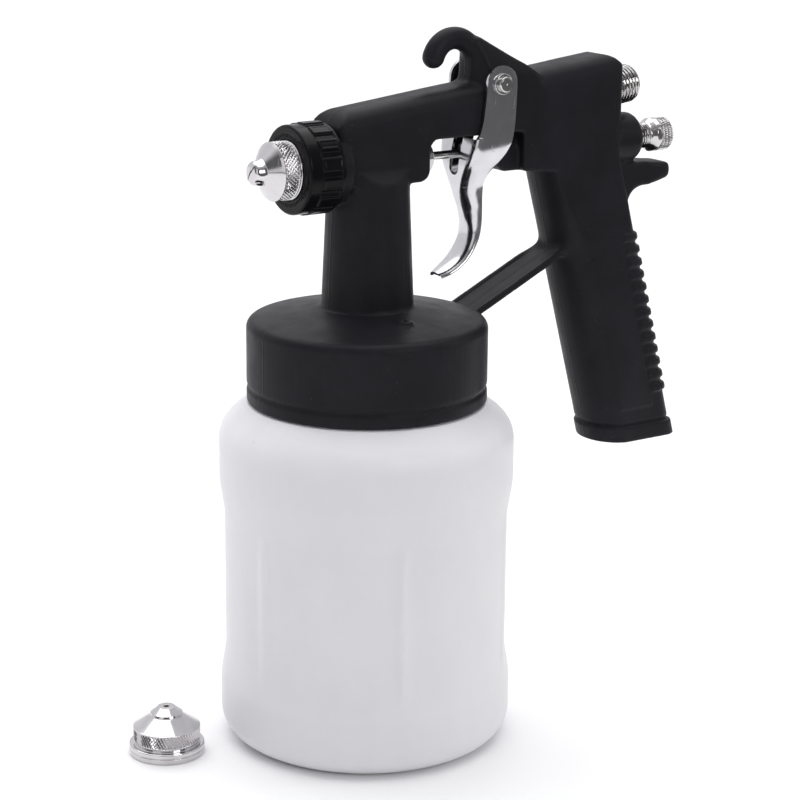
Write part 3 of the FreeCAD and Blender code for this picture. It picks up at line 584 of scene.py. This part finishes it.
def grip_ring():
    """Ring nut: serrated face, smooth front band, and raised pads with valleys between."""
    pads = 14
    ring_r = 14.4
    pad_middle = -22.15
    serrations = 90
    outline = rounded([
        (-28.0, 9.85, 0.2), (-30.6, 9.85, 0.3), (-30.6, ring_r, 0.8), (-17.3, ring_r, 0.4),
        (-17.3, 12.25, 0.2), (-28.0, 12.25, 0.2),
    ], closed=True, steps=5)
    outline = dense(outline, 0.22, closed=True)

    def relief(along, radius, angle):
        outer = smooth_step(radius, 14.2, 14.38)
        from_middle = np.abs((angle / TURN * pads) % 1.0 - 0.5) * TURN / pads * ring_r
        length = np.abs(along - pad_middle) - 3.45
        width = from_middle - 1.55
        corner = np.hypot(np.maximum(length, 0), np.maximum(width, 0)) + np.minimum(
            np.maximum(length, width), 0)
        raised = 0.55 * (1 - smooth_step(corner, 0.1, 0.45))
        dished = -0.12 * (1 - smooth_step(corner, -0.7, -0.3))
        valley = -0.4 * smooth_step(from_middle, 2.2, 2.6) * (
            1 - smooth_step(np.abs(along - pad_middle), 3.4, 3.9))
        return outer * (raised + dished + valley)

    points, faces = lathe(outline, steps=pads * 30, relief=relief, closed=True)
    # fine radial serrations on the front face
    radius = np.hypot(points[:, 1], points[:, 2] - NEEDLE_Z)
    angle = np.arctan2(points[:, 2] - NEEDLE_Z, points[:, 1])
    face = (points[:, 0] < -30.5) * smooth_step(radius, 10.3, 10.6) * (
        1 - smooth_step(radius, 11.6, 12.0))
    points[:, 0] += 0.16 * face * wave(angle / TURN * serrations)
    add_piece("grip_ring", mesh_of("grip_ring", points, faces), RING_BLACK,
              "retaining_ring", ["retaining_ring"], 40.0)


def loose_cap():
    """Round-spray cap: flange, groove, knurled band, cone and stepped tip with a hole."""
    outline = rounded([
        (13.2, 0.75, 0.0), (12.0, 3.2, 0.3), (6.0, 9.0, 1.0), (0.0, 9.0, 0.2),
        (0.0, 12.6, 0.35), (1.7, 12.6, 0.12), (1.85, 12.35, 0.1), (2.0, 12.35, 0.1),
        (2.15, 12.6, 0.1), (3.6, 12.6, 0.4), (3.6, 10.9, 0.3), (4.55, 10.9, 0.15),
        (4.6, 11.2, 0.1), (9.35, 11.2, 0.25), (9.5, 10.9, 0.1), (13.3, 5.35, 0.15),
        (13.45, 5.6, 0.1), (14.1, 5.35, 0.15), (16.0, 2.9, 0.15), (16.0, 0.95, 0.1),
        (13.2, 0.75, 0.0),
    ])
    outline = dense(outline, 0.18)
    band = 11.2
    lines = 62
    knurled = knurl(lines, 0.5, 0.5, 4.7, 9.25, both=False)

    def relief(along, radius, angle):
        outer = (radius > band - 0.2) & (radius < band + 0.1)
        return np.where(outer, knurled(along, radius, angle), 0.0)

    points, faces = lathe(outline[:-1], axis="z", steps=lines * 9, relief=relief, closed=True,
                          centre=SPARE_PLACE)
    add_piece("loose_cap", mesh_of("loose_cap", points, faces), CAP_CHROME, "spare_cap",
              ["spare_cap"], 32.0)


def thread(pitch, root, low, high, lead=1.0):
    """Relief that cuts a screw thread between low and high along the axis."""
    def relief(along, radius, angle):
        shape = wave(along / pitch - angle / TURN)
        shape = np.clip(shape * 1.25 - 0.1, 0.0, 1.0)
        fade = smooth_step(along, low, low + lead) * (1 - smooth_step(along, high - lead, high))
        return -root * (1 - shape) * fade
    return relief


def nozzle_tip():
    """Fluid nozzle: tapered tip, flange and threaded shank."""
    outline = rounded([
        (-43.5, 0.0), (-43.5, 0.55, 0.1), (-43.4, 1.5, 0.25), (-37.0, 3.2, 1.0),
        (-28.4, 5.2, 0.3), (-27.4, 6.3, 0.2), (-24.0, 6.3, 0.2), (-24.0, 4.9, 0.2),
        (-9.0, 4.9, 0.4), (-9.0, 2.6, 0.2), (-9.4, 0.0),
    ])
    outline = dense(outline[1:-1], 0.25)
    cut = thread(1.0, 0.45, -21.0, -11.0)

    def relief(along, radius, angle):
        return np.where(np.abs(radius - 4.9) < 0.02, cut(along, radius, angle), 0.0)

    inner = rounded([(-9.0, 2.6), (-35.0, 2.6, 2.0), (-43.4, 0.62)])
    outline = np.concatenate([outline, dense(inner, 0.5)[1:]])
    points, faces = lathe(outline, steps=96, relief=relief, closed=True)
    add_piece("nozzle_tip", mesh_of("nozzle_tip", points, faces), STEEL, "gun",
              ["fluid_nozzle"])


# ------------------------------------------------------- needle, valve, adjuster
def needle_rod():
    """Needle with a tapered point and a groove near its rear end."""
    outline = rounded([
        (-43.0, 0.0), (-43.0, 0.25, 0.08), (-36.5, 1.4, 2.0), (94.8, 1.4, 0.05),
        (95.0, 1.2, 0.05), (95.4, 1.2, 0.05), (95.6, 1.4, 0.05), (97.0, 1.4, 0.35),
        (97.0, 0.0),
    ])
    points, faces = lathe(dense(outline, 1.5), steps=40)
    add_piece("needle_rod", mesh_of("needle_rod", points, faces), STEEL, "needle",
              ["needle"])


def plunger():
    """Sleeve round the needle, with a wider head that the trigger pushes and a flange."""
    outline = rounded([
        (36.7, 1.58, 0.0), (36.7, 2.1, 0.3), (37.0, 3.2, 0.6), (38.5, 3.6, 0.5),
        (39.3, 3.6, 0.2), (39.3, 2.95, 0.15), (59.0, 2.95, 0.1), (59.0, 5.0, 0.2),
        (61.0, 5.0, 0.3), (61.0, 1.58, 0.1),
    ], closed=True, steps=5)
    points, faces = lathe(dense(outline, 0.6, closed=True), steps=72, closed=True)
    add_piece("plunger", mesh_of("plunger", points, faces), CHROME, "valve_plunger",
              ["valve_plunger"])


def gland_nut():
    """Hexagonal gland nut with chamfered corners and a threaded shank."""
    corners = 6
    flats = 4.8
    outline = rounded([
        (13.1, 1.7, 0.1), (13.1, 4.15, 0.3), (18.8, 4.15, 0.1), (18.8, 4.85, 0.1),
        (19.3, 5.55, 0.0), (22.1, 5.55, 0.0), (22.6, 4.85, 0.1), (22.6, 2.3, 0.3),
        (22.2, 1.7, 0.1),
    ], closed=True, steps=4)
    outline = dense(outline, 0.2, closed=True)
    cut = thread(0.9, 0.35, 13.4, 18.4, 0.4)

    def relief(along, radius, angle):
        wedge = (angle % (TURN / corners)) - math.pi / corners
        limit = flats / np.cos(wedge)
        hexed = np.where((along > 18.7) & (radius > 3), np.minimum(radius, limit) - radius, 0.0)
        screw = np.where(np.abs(radius - 4.15) < 0.02, cut(along, radius, angle), 0.0)
        return hexed + screw

    points, faces = lathe(outline, steps=144, relief=relief, closed=True)
    add_piece("gland_nut", mesh_of("gland_nut", points, faces), CHROME, "gun",
              ["packing_nut"], 28.0)


def fluid_knob():
    """Threaded stem, smooth collar and knurled rim."""
    outline = rounded([
        (101.6, 1.7, 0.1), (101.6, 4.5, 0.3), (115.5, 4.5, 0.2), (115.8, 4.7, 0.2),
        (117.1, 5.85, 0.4), (118.6, 5.9, 0.15), (118.8, 5.55, 0.1), (119.1, 5.55, 0.1),
        (119.3, 5.9, 0.15), (123.8, 5.9, 0.3), (124.2, 5.4, 0.2), (124.2, 3.6, 0.2),
        (123.8, 3.3, 0.2), (123.8, 0.0),
    ])
    start = dense(outline, 0.14)
    screw = thread(1.0, 0.5, 102.0, 115.4, 0.6)
    rim = knurl(44, 0.35, 0.42, 119.3, 124.0)

    def relief(along, radius, angle):
        return (np.where(np.abs(radius - 4.5) < 0.02, screw(along, radius, angle), 0.0)
                + np.where((radius > 5.5) & (along > 119.2), rim(along, radius, angle), 0.0))

    bore = np.array([(112.0, 0.0), (112.0, 1.7), (101.6, 1.7)])
    outline = np.concatenate([bore[:2], dense(bore[1:], 0.8)[1:-1], start])
    points, faces = lathe(outline, steps=264, relief=relief)
    add_piece("fluid_knob", mesh_of("fluid_knob", points, faces), CHROME, "adjuster_knob",
              ["adjuster_knob"], 34.0)


def inlet_thread():
    """Threaded inlet, turned along +X at the origin and then tilted onto its axis."""
    length = 9.6
    outline = rounded([
        (-11.0, 2.6, 0.2), (-11.0, 5.9, 0.3), (-1.6, 5.9, 0.1), (-1.6, 7.4, 0.2),
        (0.0, 7.4, 0.2), (0.0, 5.75, 0.1), (0.7, 5.75, 0.1), (1.0, 6.57, 0.1),
        (length - 1.2, 6.57, 0.1), (length - 0.5, 5.9, 0.15), (length, 5.6, 0.2),
        (length, 4.4, 0.3), (length - 0.9, 3.4, 0.2), (length - 1.0, 2.6, 0.2),
    ], closed=True, steps=4)
    outline = dense(outline, 0.11, closed=True)
    cut = thread(1.337, 0.82, 0.4, length - 0.2, 0.5)

    def relief(along, radius, angle):
        return np.where((radius > 6.0) & (along > 0.7), cut(along, radius, angle), 0.0)

    points, faces = lathe(outline, steps=96, relief=relief, closed=True)
    points[:, 2] -= NEEDLE_Z
    lean = math.atan(INLET_SLOPE)
    x = points[:, 0] * math.cos(lean) - points[:, 2] * math.sin(lean) + INLET_START[0]
    z = points[:, 0] * math.sin(lean) + points[:, 2] * math.cos(lean) + INLET_START[1]
    points = np.stack([x, points[:, 1], z], -1)
    add_piece("inlet_thread", mesh_of("inlet_thread", points, faces), CHROME, "gun",
              ["inlet_nipple"], 40.0)


# ----------------------------------------------------------------------- trigger
def through(stations, per_span):
    """Smooth curve through the stations (Catmull-Rom), with per_span steps each."""
    stations = np.array(stations, float)
    padded = np.vstack([2 * stations[0] - stations[1], stations, 2 * stations[-1] - stations[-2]])
    rows = []
    for i in range(1, len(padded) - 2):
        p0, p1, p2, p3 = padded[i - 1:i + 3]
        for k in range(per_span):
            t = k / per_span
            rows.append(0.5 * (2 * p1 + (p2 - p0) * t + (2 * p0 - 5 * p1 + 4 * p2 - p3) * t * t
                               + (3 * p1 - p0 - 3 * p2 + p3) * t ** 3))
    rows.append(padded[-2])
    return np.array(rows)


# front x and z, rear x and z, half width and fold radius, from the tip up to the web's top
WEB_STATIONS = [
    (26.7, 156.7, 27.4, 154.9, 3.3, 2.9), (28.7, 157.7, 29.5, 155.9, 4.5, 4.1),
    (31.7, 159.5, 32.7, 157.7, 5.2, 4.8), (34.6, 162.0, 36.0, 160.3, 5.5, 5.1),
    (36.9, 165.3, 38.9, 163.9, 5.5, 5.1), (38.1, 168.8, 41.0, 168.2, 5.5, 5.1),
    (38.0, 172.6, 41.8, 172.9, 5.5, 5.1), (37.0, 176.6, 41.9, 177.6, 5.5, 5.0),
    (35.6, 180.6, 41.8, 182.0, 5.6, 4.8), (34.5, 184.6, 42.0, 186.3, 6.0, 4.6),
    (34.0, 188.2, 43.2, 189.9, 7.3, 4.3), (33.9, 191.6, 45.5, 193.2, 9.0, 4.0),
    (34.3, 195.0, 47.7, 196.6, 10.4, 3.6), (35.0, 198.5, 49.4, 200.0, 11.1, 3.1),
    (35.8, 201.8, 50.1, 202.9, 11.2, 2.6),
]
ARM_STATIONS = [
    (35.8, 201.8, 50.1, 202.9), (36.9, 204.4, 50.5, 205.4), (37.8, 207.6, 50.75, 208.3),
    (38.35, 211.4, 50.95, 211.8), (38.85, 215.4, 51.1, 215.5), (39.2, 219.7, 51.2, 219.7),
]
ARM_HALF = 11.2
EYE_R = 6.0
EYE_STEPS = 9
SHEET = 1.1
SLOT_HALF = 2.6
PIN_HOLE_R = 2.05


def facing_out(mesh):
    """The trigger's skin with its faces turned away from the channel's inside."""
    near_arm = -10.5 * MM
    bm = bmesh.new()
    bm.from_mesh(mesh)
    arm = [f for f in bm.faces if f.calc_center_median().y < near_arm]
    if sum(f.normal.y for f in arm) > 0:
        bmesh.ops.reverse_faces(bm, faces=bm.faces)
    bm.to_mesh(mesh)
    bm.free()
    return mesh


def trigger_channel():
    """Pressed channel: a web with folded cheeks that run up into two arms."""
    cheek_steps = 7
    fold_steps = 8
    web_steps = 10
    rows = []
    for fx, fz, rx, rz, half, fold in through(WEB_STATIONS, 6):
        front = np.array([fx, fz])
        depth = np.hypot(rx - fx, rz - fz)
        back = (np.array([rx, rz]) - front) / depth
        local = []
        drop = min(fold, depth * 0.97)
        for k in range(cheek_steps):
            local.append((depth + (drop - depth) * k / cheek_steps, -half))
        for k in range(fold_steps + 1):
            a = math.pi / 2 * k / fold_steps
            local.append((drop * (1 - math.sin(a)), -half + fold * (1 - math.cos(a))))
        for k in range(1, web_steps // 2 + 1):
            local.append((0.0, (-half + fold) * (1 - 2 * k / web_steps)))
        local += [(d, -y) for d, y in local[-2::-1]]
        rows.append([(front[0] + back[0] * d, y, front[1] + back[1] * d) for d, y in local])
    columns = len(rows[0])
    points = [p for row in rows for p in row]
    faces = grid_faces(len(rows), columns)
    arms = [tuple(row) for row in through(ARM_STATIONS, 4)[1:]]
    for k in range(1, EYE_STEPS + 1):
        a = math.pi / 2 * k / (EYE_STEPS + 0.5)
        arms.append((PIVOT[0] - EYE_R * math.cos(a), PIVOT[1] + EYE_R * math.sin(a),
                     PIVOT[0] + EYE_R * math.cos(a), PIVOT[1] + EYE_R * math.sin(a)))
    last = (len(rows) - 1) * columns
    for side, edge in ((-1, list(range(cheek_steps + 1))),
                       (1, list(range(columns - 1, columns - cheek_steps - 2, -1)))):
        below = [last + j for j in edge]
        for fx, fz, rx, rz in arms:
            row = []
            for k in range(cheek_steps + 1):
                t = k / cheek_steps
                row.append(len(points))
                points.append((rx + (fx - rx) * t, side * ARM_HALF, rz + (fz - rz) * t))
            for k in range(cheek_steps):
                faces.append((below[k], below[k + 1], row[k + 1], row[k]))
            below = row
    mesh = facing_out(mesh_of("trigger_skin", points, faces))
    mesh = modified(mesh, "SOLIDIFY", thickness=SHEET * MM, offset=-1.0, use_even_offset=True)
    slot_round = SLOT_HALF - 0.05
    slot = rounded([(-SLOT_HALF, 189.0, slot_round), (SLOT_HALF, 189.0, slot_round),
                    (SLOT_HALF, 206.0), (-SLOT_HALF, 206.0)], closed=True, steps=10)
    cutters = [bar(slot, 30.0, 38.6, lambda u, v, w: np.array([w, u, v]))]
    hole = [(PIVOT[0] + PIN_HOLE_R * math.cos(a), PIVOT[1] + PIN_HOLE_R * math.sin(a))
            for a in np.arange(40) * TURN / 40]
    cutters.append(bar(hole, -15.0, 15.0, lambda u, v, w: np.array([u, w, v])))
    mesh = carved(mesh, cutters)
    mesh = modified(mesh, "BEVEL", width=0.22 * MM, segments=3, limit_method="ANGLE",
                    angle_limit=math.radians(50))
    add_piece("trigger_channel", mesh, TRIGGER_CHROME, "trigger",
              ["trigger"], 35.0)


def across_pivot(points):
    """Turns lathe points, made along X on the needle's axis, onto the pivot's Y axis."""
    along = points[:, 0].copy()
    side = points[:, 1]
    rise = points[:, 2] - NEEDLE_Z
    return np.stack([PIVOT[0] + side, along, PIVOT[1] + rise], -1)


def pivot_pin():
    """Pin with a turned head at each end, each with a centre mark."""
    half = rounded([
        (0.0, 2.0), (12.0, 2.0, 0.1), (12.1, 2.6, 0.1), (13.3, 2.6, 0.3), (13.6, 2.2, 0.2),
        (13.6, 0.35, 0.05), (13.35, 0.0),
    ], steps=5)
    outline = np.concatenate([half[::-1] * np.array([-1, 1]), half[1:]])
    points, faces = lathe(dense(outline, 1.2), steps=56)
    add_piece("pivot_pin", mesh_of("pivot_pin", across_pivot(points), faces), CHROME, "gun",
              ["trigger_pin"], 30.0)


def pin_rings():
    """Slightly dished spring washers."""
    parts = []
    for side in (-1, 1):
        outline = rounded([
            (11.32, 2.05, 0.1), (11.32, 3.3, 0.1), (11.5, 3.5, 0.15), (12.05, 3.4, 0.15),
            (12.1, 2.9, 0.2), (12.1, 2.05, 0.1),
        ], closed=True, steps=4) * np.array([side, 1])
        points, faces = lathe(outline, steps=72, closed=True)
        parts.append((across_pivot(points), faces))
    add_piece("pin_rings", joined_mesh("pin_rings", parts), CHROME, "gun",
              ["pin_clips"], 30.0)


# ------------------------------------------------------------------ bottle parts
RIDGE_ANGLE = -107.5             # degrees from +X, the ridge nearest the camera
RIDGES = 6


def bottle_shell():
    """Blow-moulded bottle with a pushed-up base, soft upright ridges and a screw neck."""
    outside = [
        (2.4, 0.0), (2.0, 27.0, 12.0), (0.0, 38.0, 4.0), (0.0, 49.3, 9.5), (21.0, 49.3, 16.0),
        (31.0, 47.6, 20.0), (79.0, 47.6, 20.0), (90.0, 49.3, 16.0), (109.0, 49.3, 11.0),
        (116.5, 40.1, 1.2), (116.9, 36.9, 0.4), (138.0, 36.9, 0.6),
    ]
    inside = [
        (138.0, 34.7, 0.6), (115.2, 34.7, 3.0), (108.0, 47.7, 9.5), (89.6, 47.7, 16.0),
        (79.0, 46.0, 20.0), (31.0, 46.0, 20.0), (21.0, 47.7, 16.0), (1.6, 47.7, 8.0),
        (1.6, 38.0, 4.0), (3.6, 27.0, 12.0), (4.0, 0.0),
    ]
    outline = dense(rounded(outside + inside, steps=10), 1.3)
    screw = thread(5.0, 1.3, 119.0, 136.5, 2.0)

    def relief(along, radius, angle):
        neck = np.where((radius > 36.5) & (radius < 37.2) & (along > 118), 1.0, 0.0)
        cut = neck * screw(along, radius, angle)
        phase = (angle - math.radians(RIDGE_ANGLE)) / TURN * RIDGES
        distance = (phase - np.round(phase)) * TURN / RIDGES * 47.6
        wall = smooth_step(along, 24, 32) * (1 - smooth_step(along, 74, 84)) * (radius > 44)
        crest = 0.75 * np.exp(-(distance / 2.1) ** 2) - 0.16 * np.exp(-(distance / 7.0) ** 2)
        return cut + wall * crest

    points, faces = lathe(outline, axis="z", steps=360, relief=relief)
    add_piece("bottle_shell", mesh_of("bottle_shell", points, faces), BOTTLE_WHITE, "bottle",
              ["bottle"], 50.0)


def gasket_ring():
    """Flat seal with rounded edges."""
    outline = rounded([
        (138.25, 30.5, 0.3), (138.25, 33.0, 0.3), (138.25, 36.5, 0.3), (140.25, 36.5, 0.3),
        (140.25, 30.5, 0.3),
    ], closed=True, steps=3)
    points, faces = lathe(dense(outline, 0.5, closed=True), axis="z", steps=144, closed=True)
    add_piece("gasket_ring", mesh_of("gasket_ring", points, faces), RUBBER, "jar_gasket",
              ["jar_gasket"])


def dip_tube():
    """Suction tube with its lower end cut at a slant."""
    outline = rounded([(8.0, 2.5, 0.2), (8.0, 3.5, 0.2), (184.0, 3.5, 0.2), (184.0, 2.5, 0.2)],
                      closed=True, steps=3)
    points, faces = lathe(dense(outline, 4.0, closed=True), axis="z", steps=48, closed=True)
    near_end = 1 - smooth_step(points[:, 2], 8.0, 16.0)
    points[:, 2] += near_end * (3.5 - points[:, 0])
    add_piece("dip_tube", mesh_of("dip_tube", points, faces), TUBE_PLASTIC, "gun",
              ["siphon_tube"])


# ----------------------------------------------------------------------- springs
def coil_springs():
    """The two springs, each a copy of its CAD node's mesh."""
    # CAD node, piece, joint, x of the fixed end, and the joint's full travel
    springs = (
        ("valve_spring", "valve_coil", "valve_travel", 74.0, 6.0),
        ("needle_spring", "needle_coil", "needle_travel", 99.0, 5.0),
    )
    for node, name, joint, fixed_x, travel in springs:
        coil = add_piece(name, cad_copy(node), STEEL, "gun", [node], 50.0)
        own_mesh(coil)


# -------------------------------------------- CAD nodes that keep their own shape
def dress_nodes():
    """Gives the small inner parts their materials, and softens their edges."""
    finishes = {
        "air_baffle": WHITE_PLASTIC, "needle_packing": WHITE_PLASTIC,
        "needle_collar": STEEL, "spring_collar": STEEL, "valve_seal": RUBBER,
        "inlet_washer": RUBBER, "valve_gland": BRASS, "spring_seat": BRASS,
        "adjuster_bush": BRASS,
    }
    for name, material in finishes.items():
        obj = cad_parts[name]
        obj.data.materials.clear()
        obj.data.materials.append(material)
        weld = obj.modifiers.new("weld", "WELD")
        weld.merge_threshold = WELD
        edge = obj.modifiers.new("edge", "BEVEL")
        edge.width = 0.12 * MM
        edge.segments = 2
        edge.limit_method = "ANGLE"
        edge.angle_limit = math.radians(50)


# ---------------------------------------------------------- floor, light, camera
def floor():
    """Pale sheet that the gun stands on and that fills the view behind it."""
    steps = 12
    across = np.linspace(-4500.0, 4500.0, steps + 1)
    deep = np.linspace(-480.0, 7000.0, steps + 1)
    below = -0.02
    cosine, sine = 0.83, 0.557    # of the sheet's turn about Z
    points = [(x * cosine - y * sine, x * sine + y * cosine, below)
              for x in across for y in deep]
    mesh = mesh_of("floor", points, grid_faces(steps + 1, steps + 1))
    shade = Shade("floor_paper", Specular_IOR_Level=0.2)
    tone = shade.spread(shade.noise(6.0, 3.0), 0.3, 0.7, 0.0, 1.0)
    shade.colour(shade.mix(tone, grey(0.90), grey(0.92)))
    shade.rough(shade.spread(shade.noise(40.0, 3.0), 0.3, 0.7, 0.55, 0.65))
    mesh.materials.append(shade.material)
    obj = bpy.data.objects.new("floor", mesh)
    bpy.context.scene.collection.objects.link(obj)


def area_light(name, place, aim, size, power):
    """Soft box at place that faces aim. Metres and watts."""
    data = bpy.data.lights.new(name, "AREA")
    data.shape = "RECTANGLE"
    data.size, data.size_y = size
    data.energy = power
    obj = bpy.data.objects.new(name, data)
    bpy.context.scene.collection.objects.link(obj)
    obj.location = place
    obj.rotation_mode = "QUATERNION"
    obj.rotation_quaternion = (Vector(aim) - Vector(place)).to_track_quat("-Z", "Y")


def light_and_world():
    """Broad light from above, three soft boxes, and a room with a pale wall."""
    world = bpy.data.worlds.new("studio")
    bpy.context.scene.world = world
    world.use_nodes = True
    tree = world.node_tree
    backdrop = tree.nodes["Background"]
    backdrop.inputs["Color"].default_value = (1.0, 1.0, 1.03, 1.0)
    # a dark room in front, with a pale wall behind the gun and a soft ceiling
    direction = tree.nodes.new("ShaderNodeTexCoord")
    axes = tree.nodes.new("ShaderNodeSeparateXYZ")
    tree.links.new(direction.outputs["Generated"], axes.inputs[0])

    def ramp(socket, low, high, to_low, to_high):
        made = tree.nodes.new("ShaderNodeMapRange")
        made.interpolation_type = "SMOOTHSTEP"
        tree.links.new(socket, made.inputs["Value"])
        values = {"From Min": low, "From Max": high, "To Min": to_low, "To Max": to_high}
        for key, value in values.items():
            made.inputs[key].default_value = value
        return made.outputs[0]

    wall = ramp(axes.outputs["Y"], 0.1, 0.55, 0.14, 0.85)
    ceiling_glow = ramp(axes.outputs["Z"], 0.55, 0.9, 0.0, 0.45)
    total = tree.nodes.new("ShaderNodeMath")
    total.operation = "ADD"
    tree.links.new(wall, total.inputs[0])
    tree.links.new(ceiling_glow, total.inputs[1])
    tree.links.new(total.outputs[0], backdrop.inputs["Strength"])
    middle = (0.0, 0.0, 0.12)
    sky = bpy.data.lights.new("ceiling", "SUN")
    sky.energy = 2.0
    sky.angle = math.radians(75)
    ceiling = bpy.data.objects.new("ceiling", sky)
    bpy.context.scene.collection.objects.link(ceiling)
    ceiling.rotation_euler = (math.radians(-12), math.radians(8), 0.0)
    area_light("left_box", (-1.5, -0.7, 0.75), middle, (0.9, 1.2), 2.5)
    area_light("front_box", (0.15, -1.9, 0.9), middle, (0.8, 0.8), 9.0)
    area_light("right_box", (1.4, -0.8, 0.7), middle, (0.6, 1.1), 3.5)
    bpy.context.scene.view_settings.view_transform = "Standard"
    bpy.context.scene.view_settings.look = "None"


def camera():
    """Camera at the reference view: azimuth, elevation, distance, lens and roll."""
    azimuth = math.radians(-33.861)
    elevation = math.radians(15.306)
    roll = math.radians(0.577)
    distance = 768.0
    aim_aside = 11.06
    aim_height = 116.2
    back = Vector((math.sin(azimuth) * math.cos(elevation),
                   -math.cos(azimuth) * math.cos(elevation), math.sin(elevation)))
    right = Vector((math.cos(azimuth), math.sin(azimuth), 0.0))
    up = back.cross(right)
    place = right * aim_aside + Vector((0.0, 0.0, aim_height)) + back * distance
    rolled_right = right * math.cos(roll) + up * math.sin(roll)
    rolled_up = up * math.cos(roll) - right * math.sin(roll)
    data = bpy.data.cameras.new("camera")
    data.sensor_width = 36.0
    data.lens = 103.68
    data.clip_start = 0.01
    data.clip_end = 50.0
    obj = bpy.data.objects.new("camera", data)
    bpy.context.scene.collection.objects.link(obj)
    turn = Matrix((rolled_right, rolled_up, back)).transposed().to_4x4()
    obj.matrix_world = Matrix.Translation(place * MM) @ turn
    bpy.context.scene.camera = obj


body_shell()
fan_cap()
slip_washer()
grip_ring()
loose_cap()
nozzle_tip()
needle_rod()
plunger()
gland_nut()
fluid_knob()
inlet_thread()
trigger_channel()
pivot_pin()
pin_rings()
bottle_shell()
gasket_ring()
dip_tube()
coil_springs()
dress_nodes()
floor()
light_and_world()
camera()
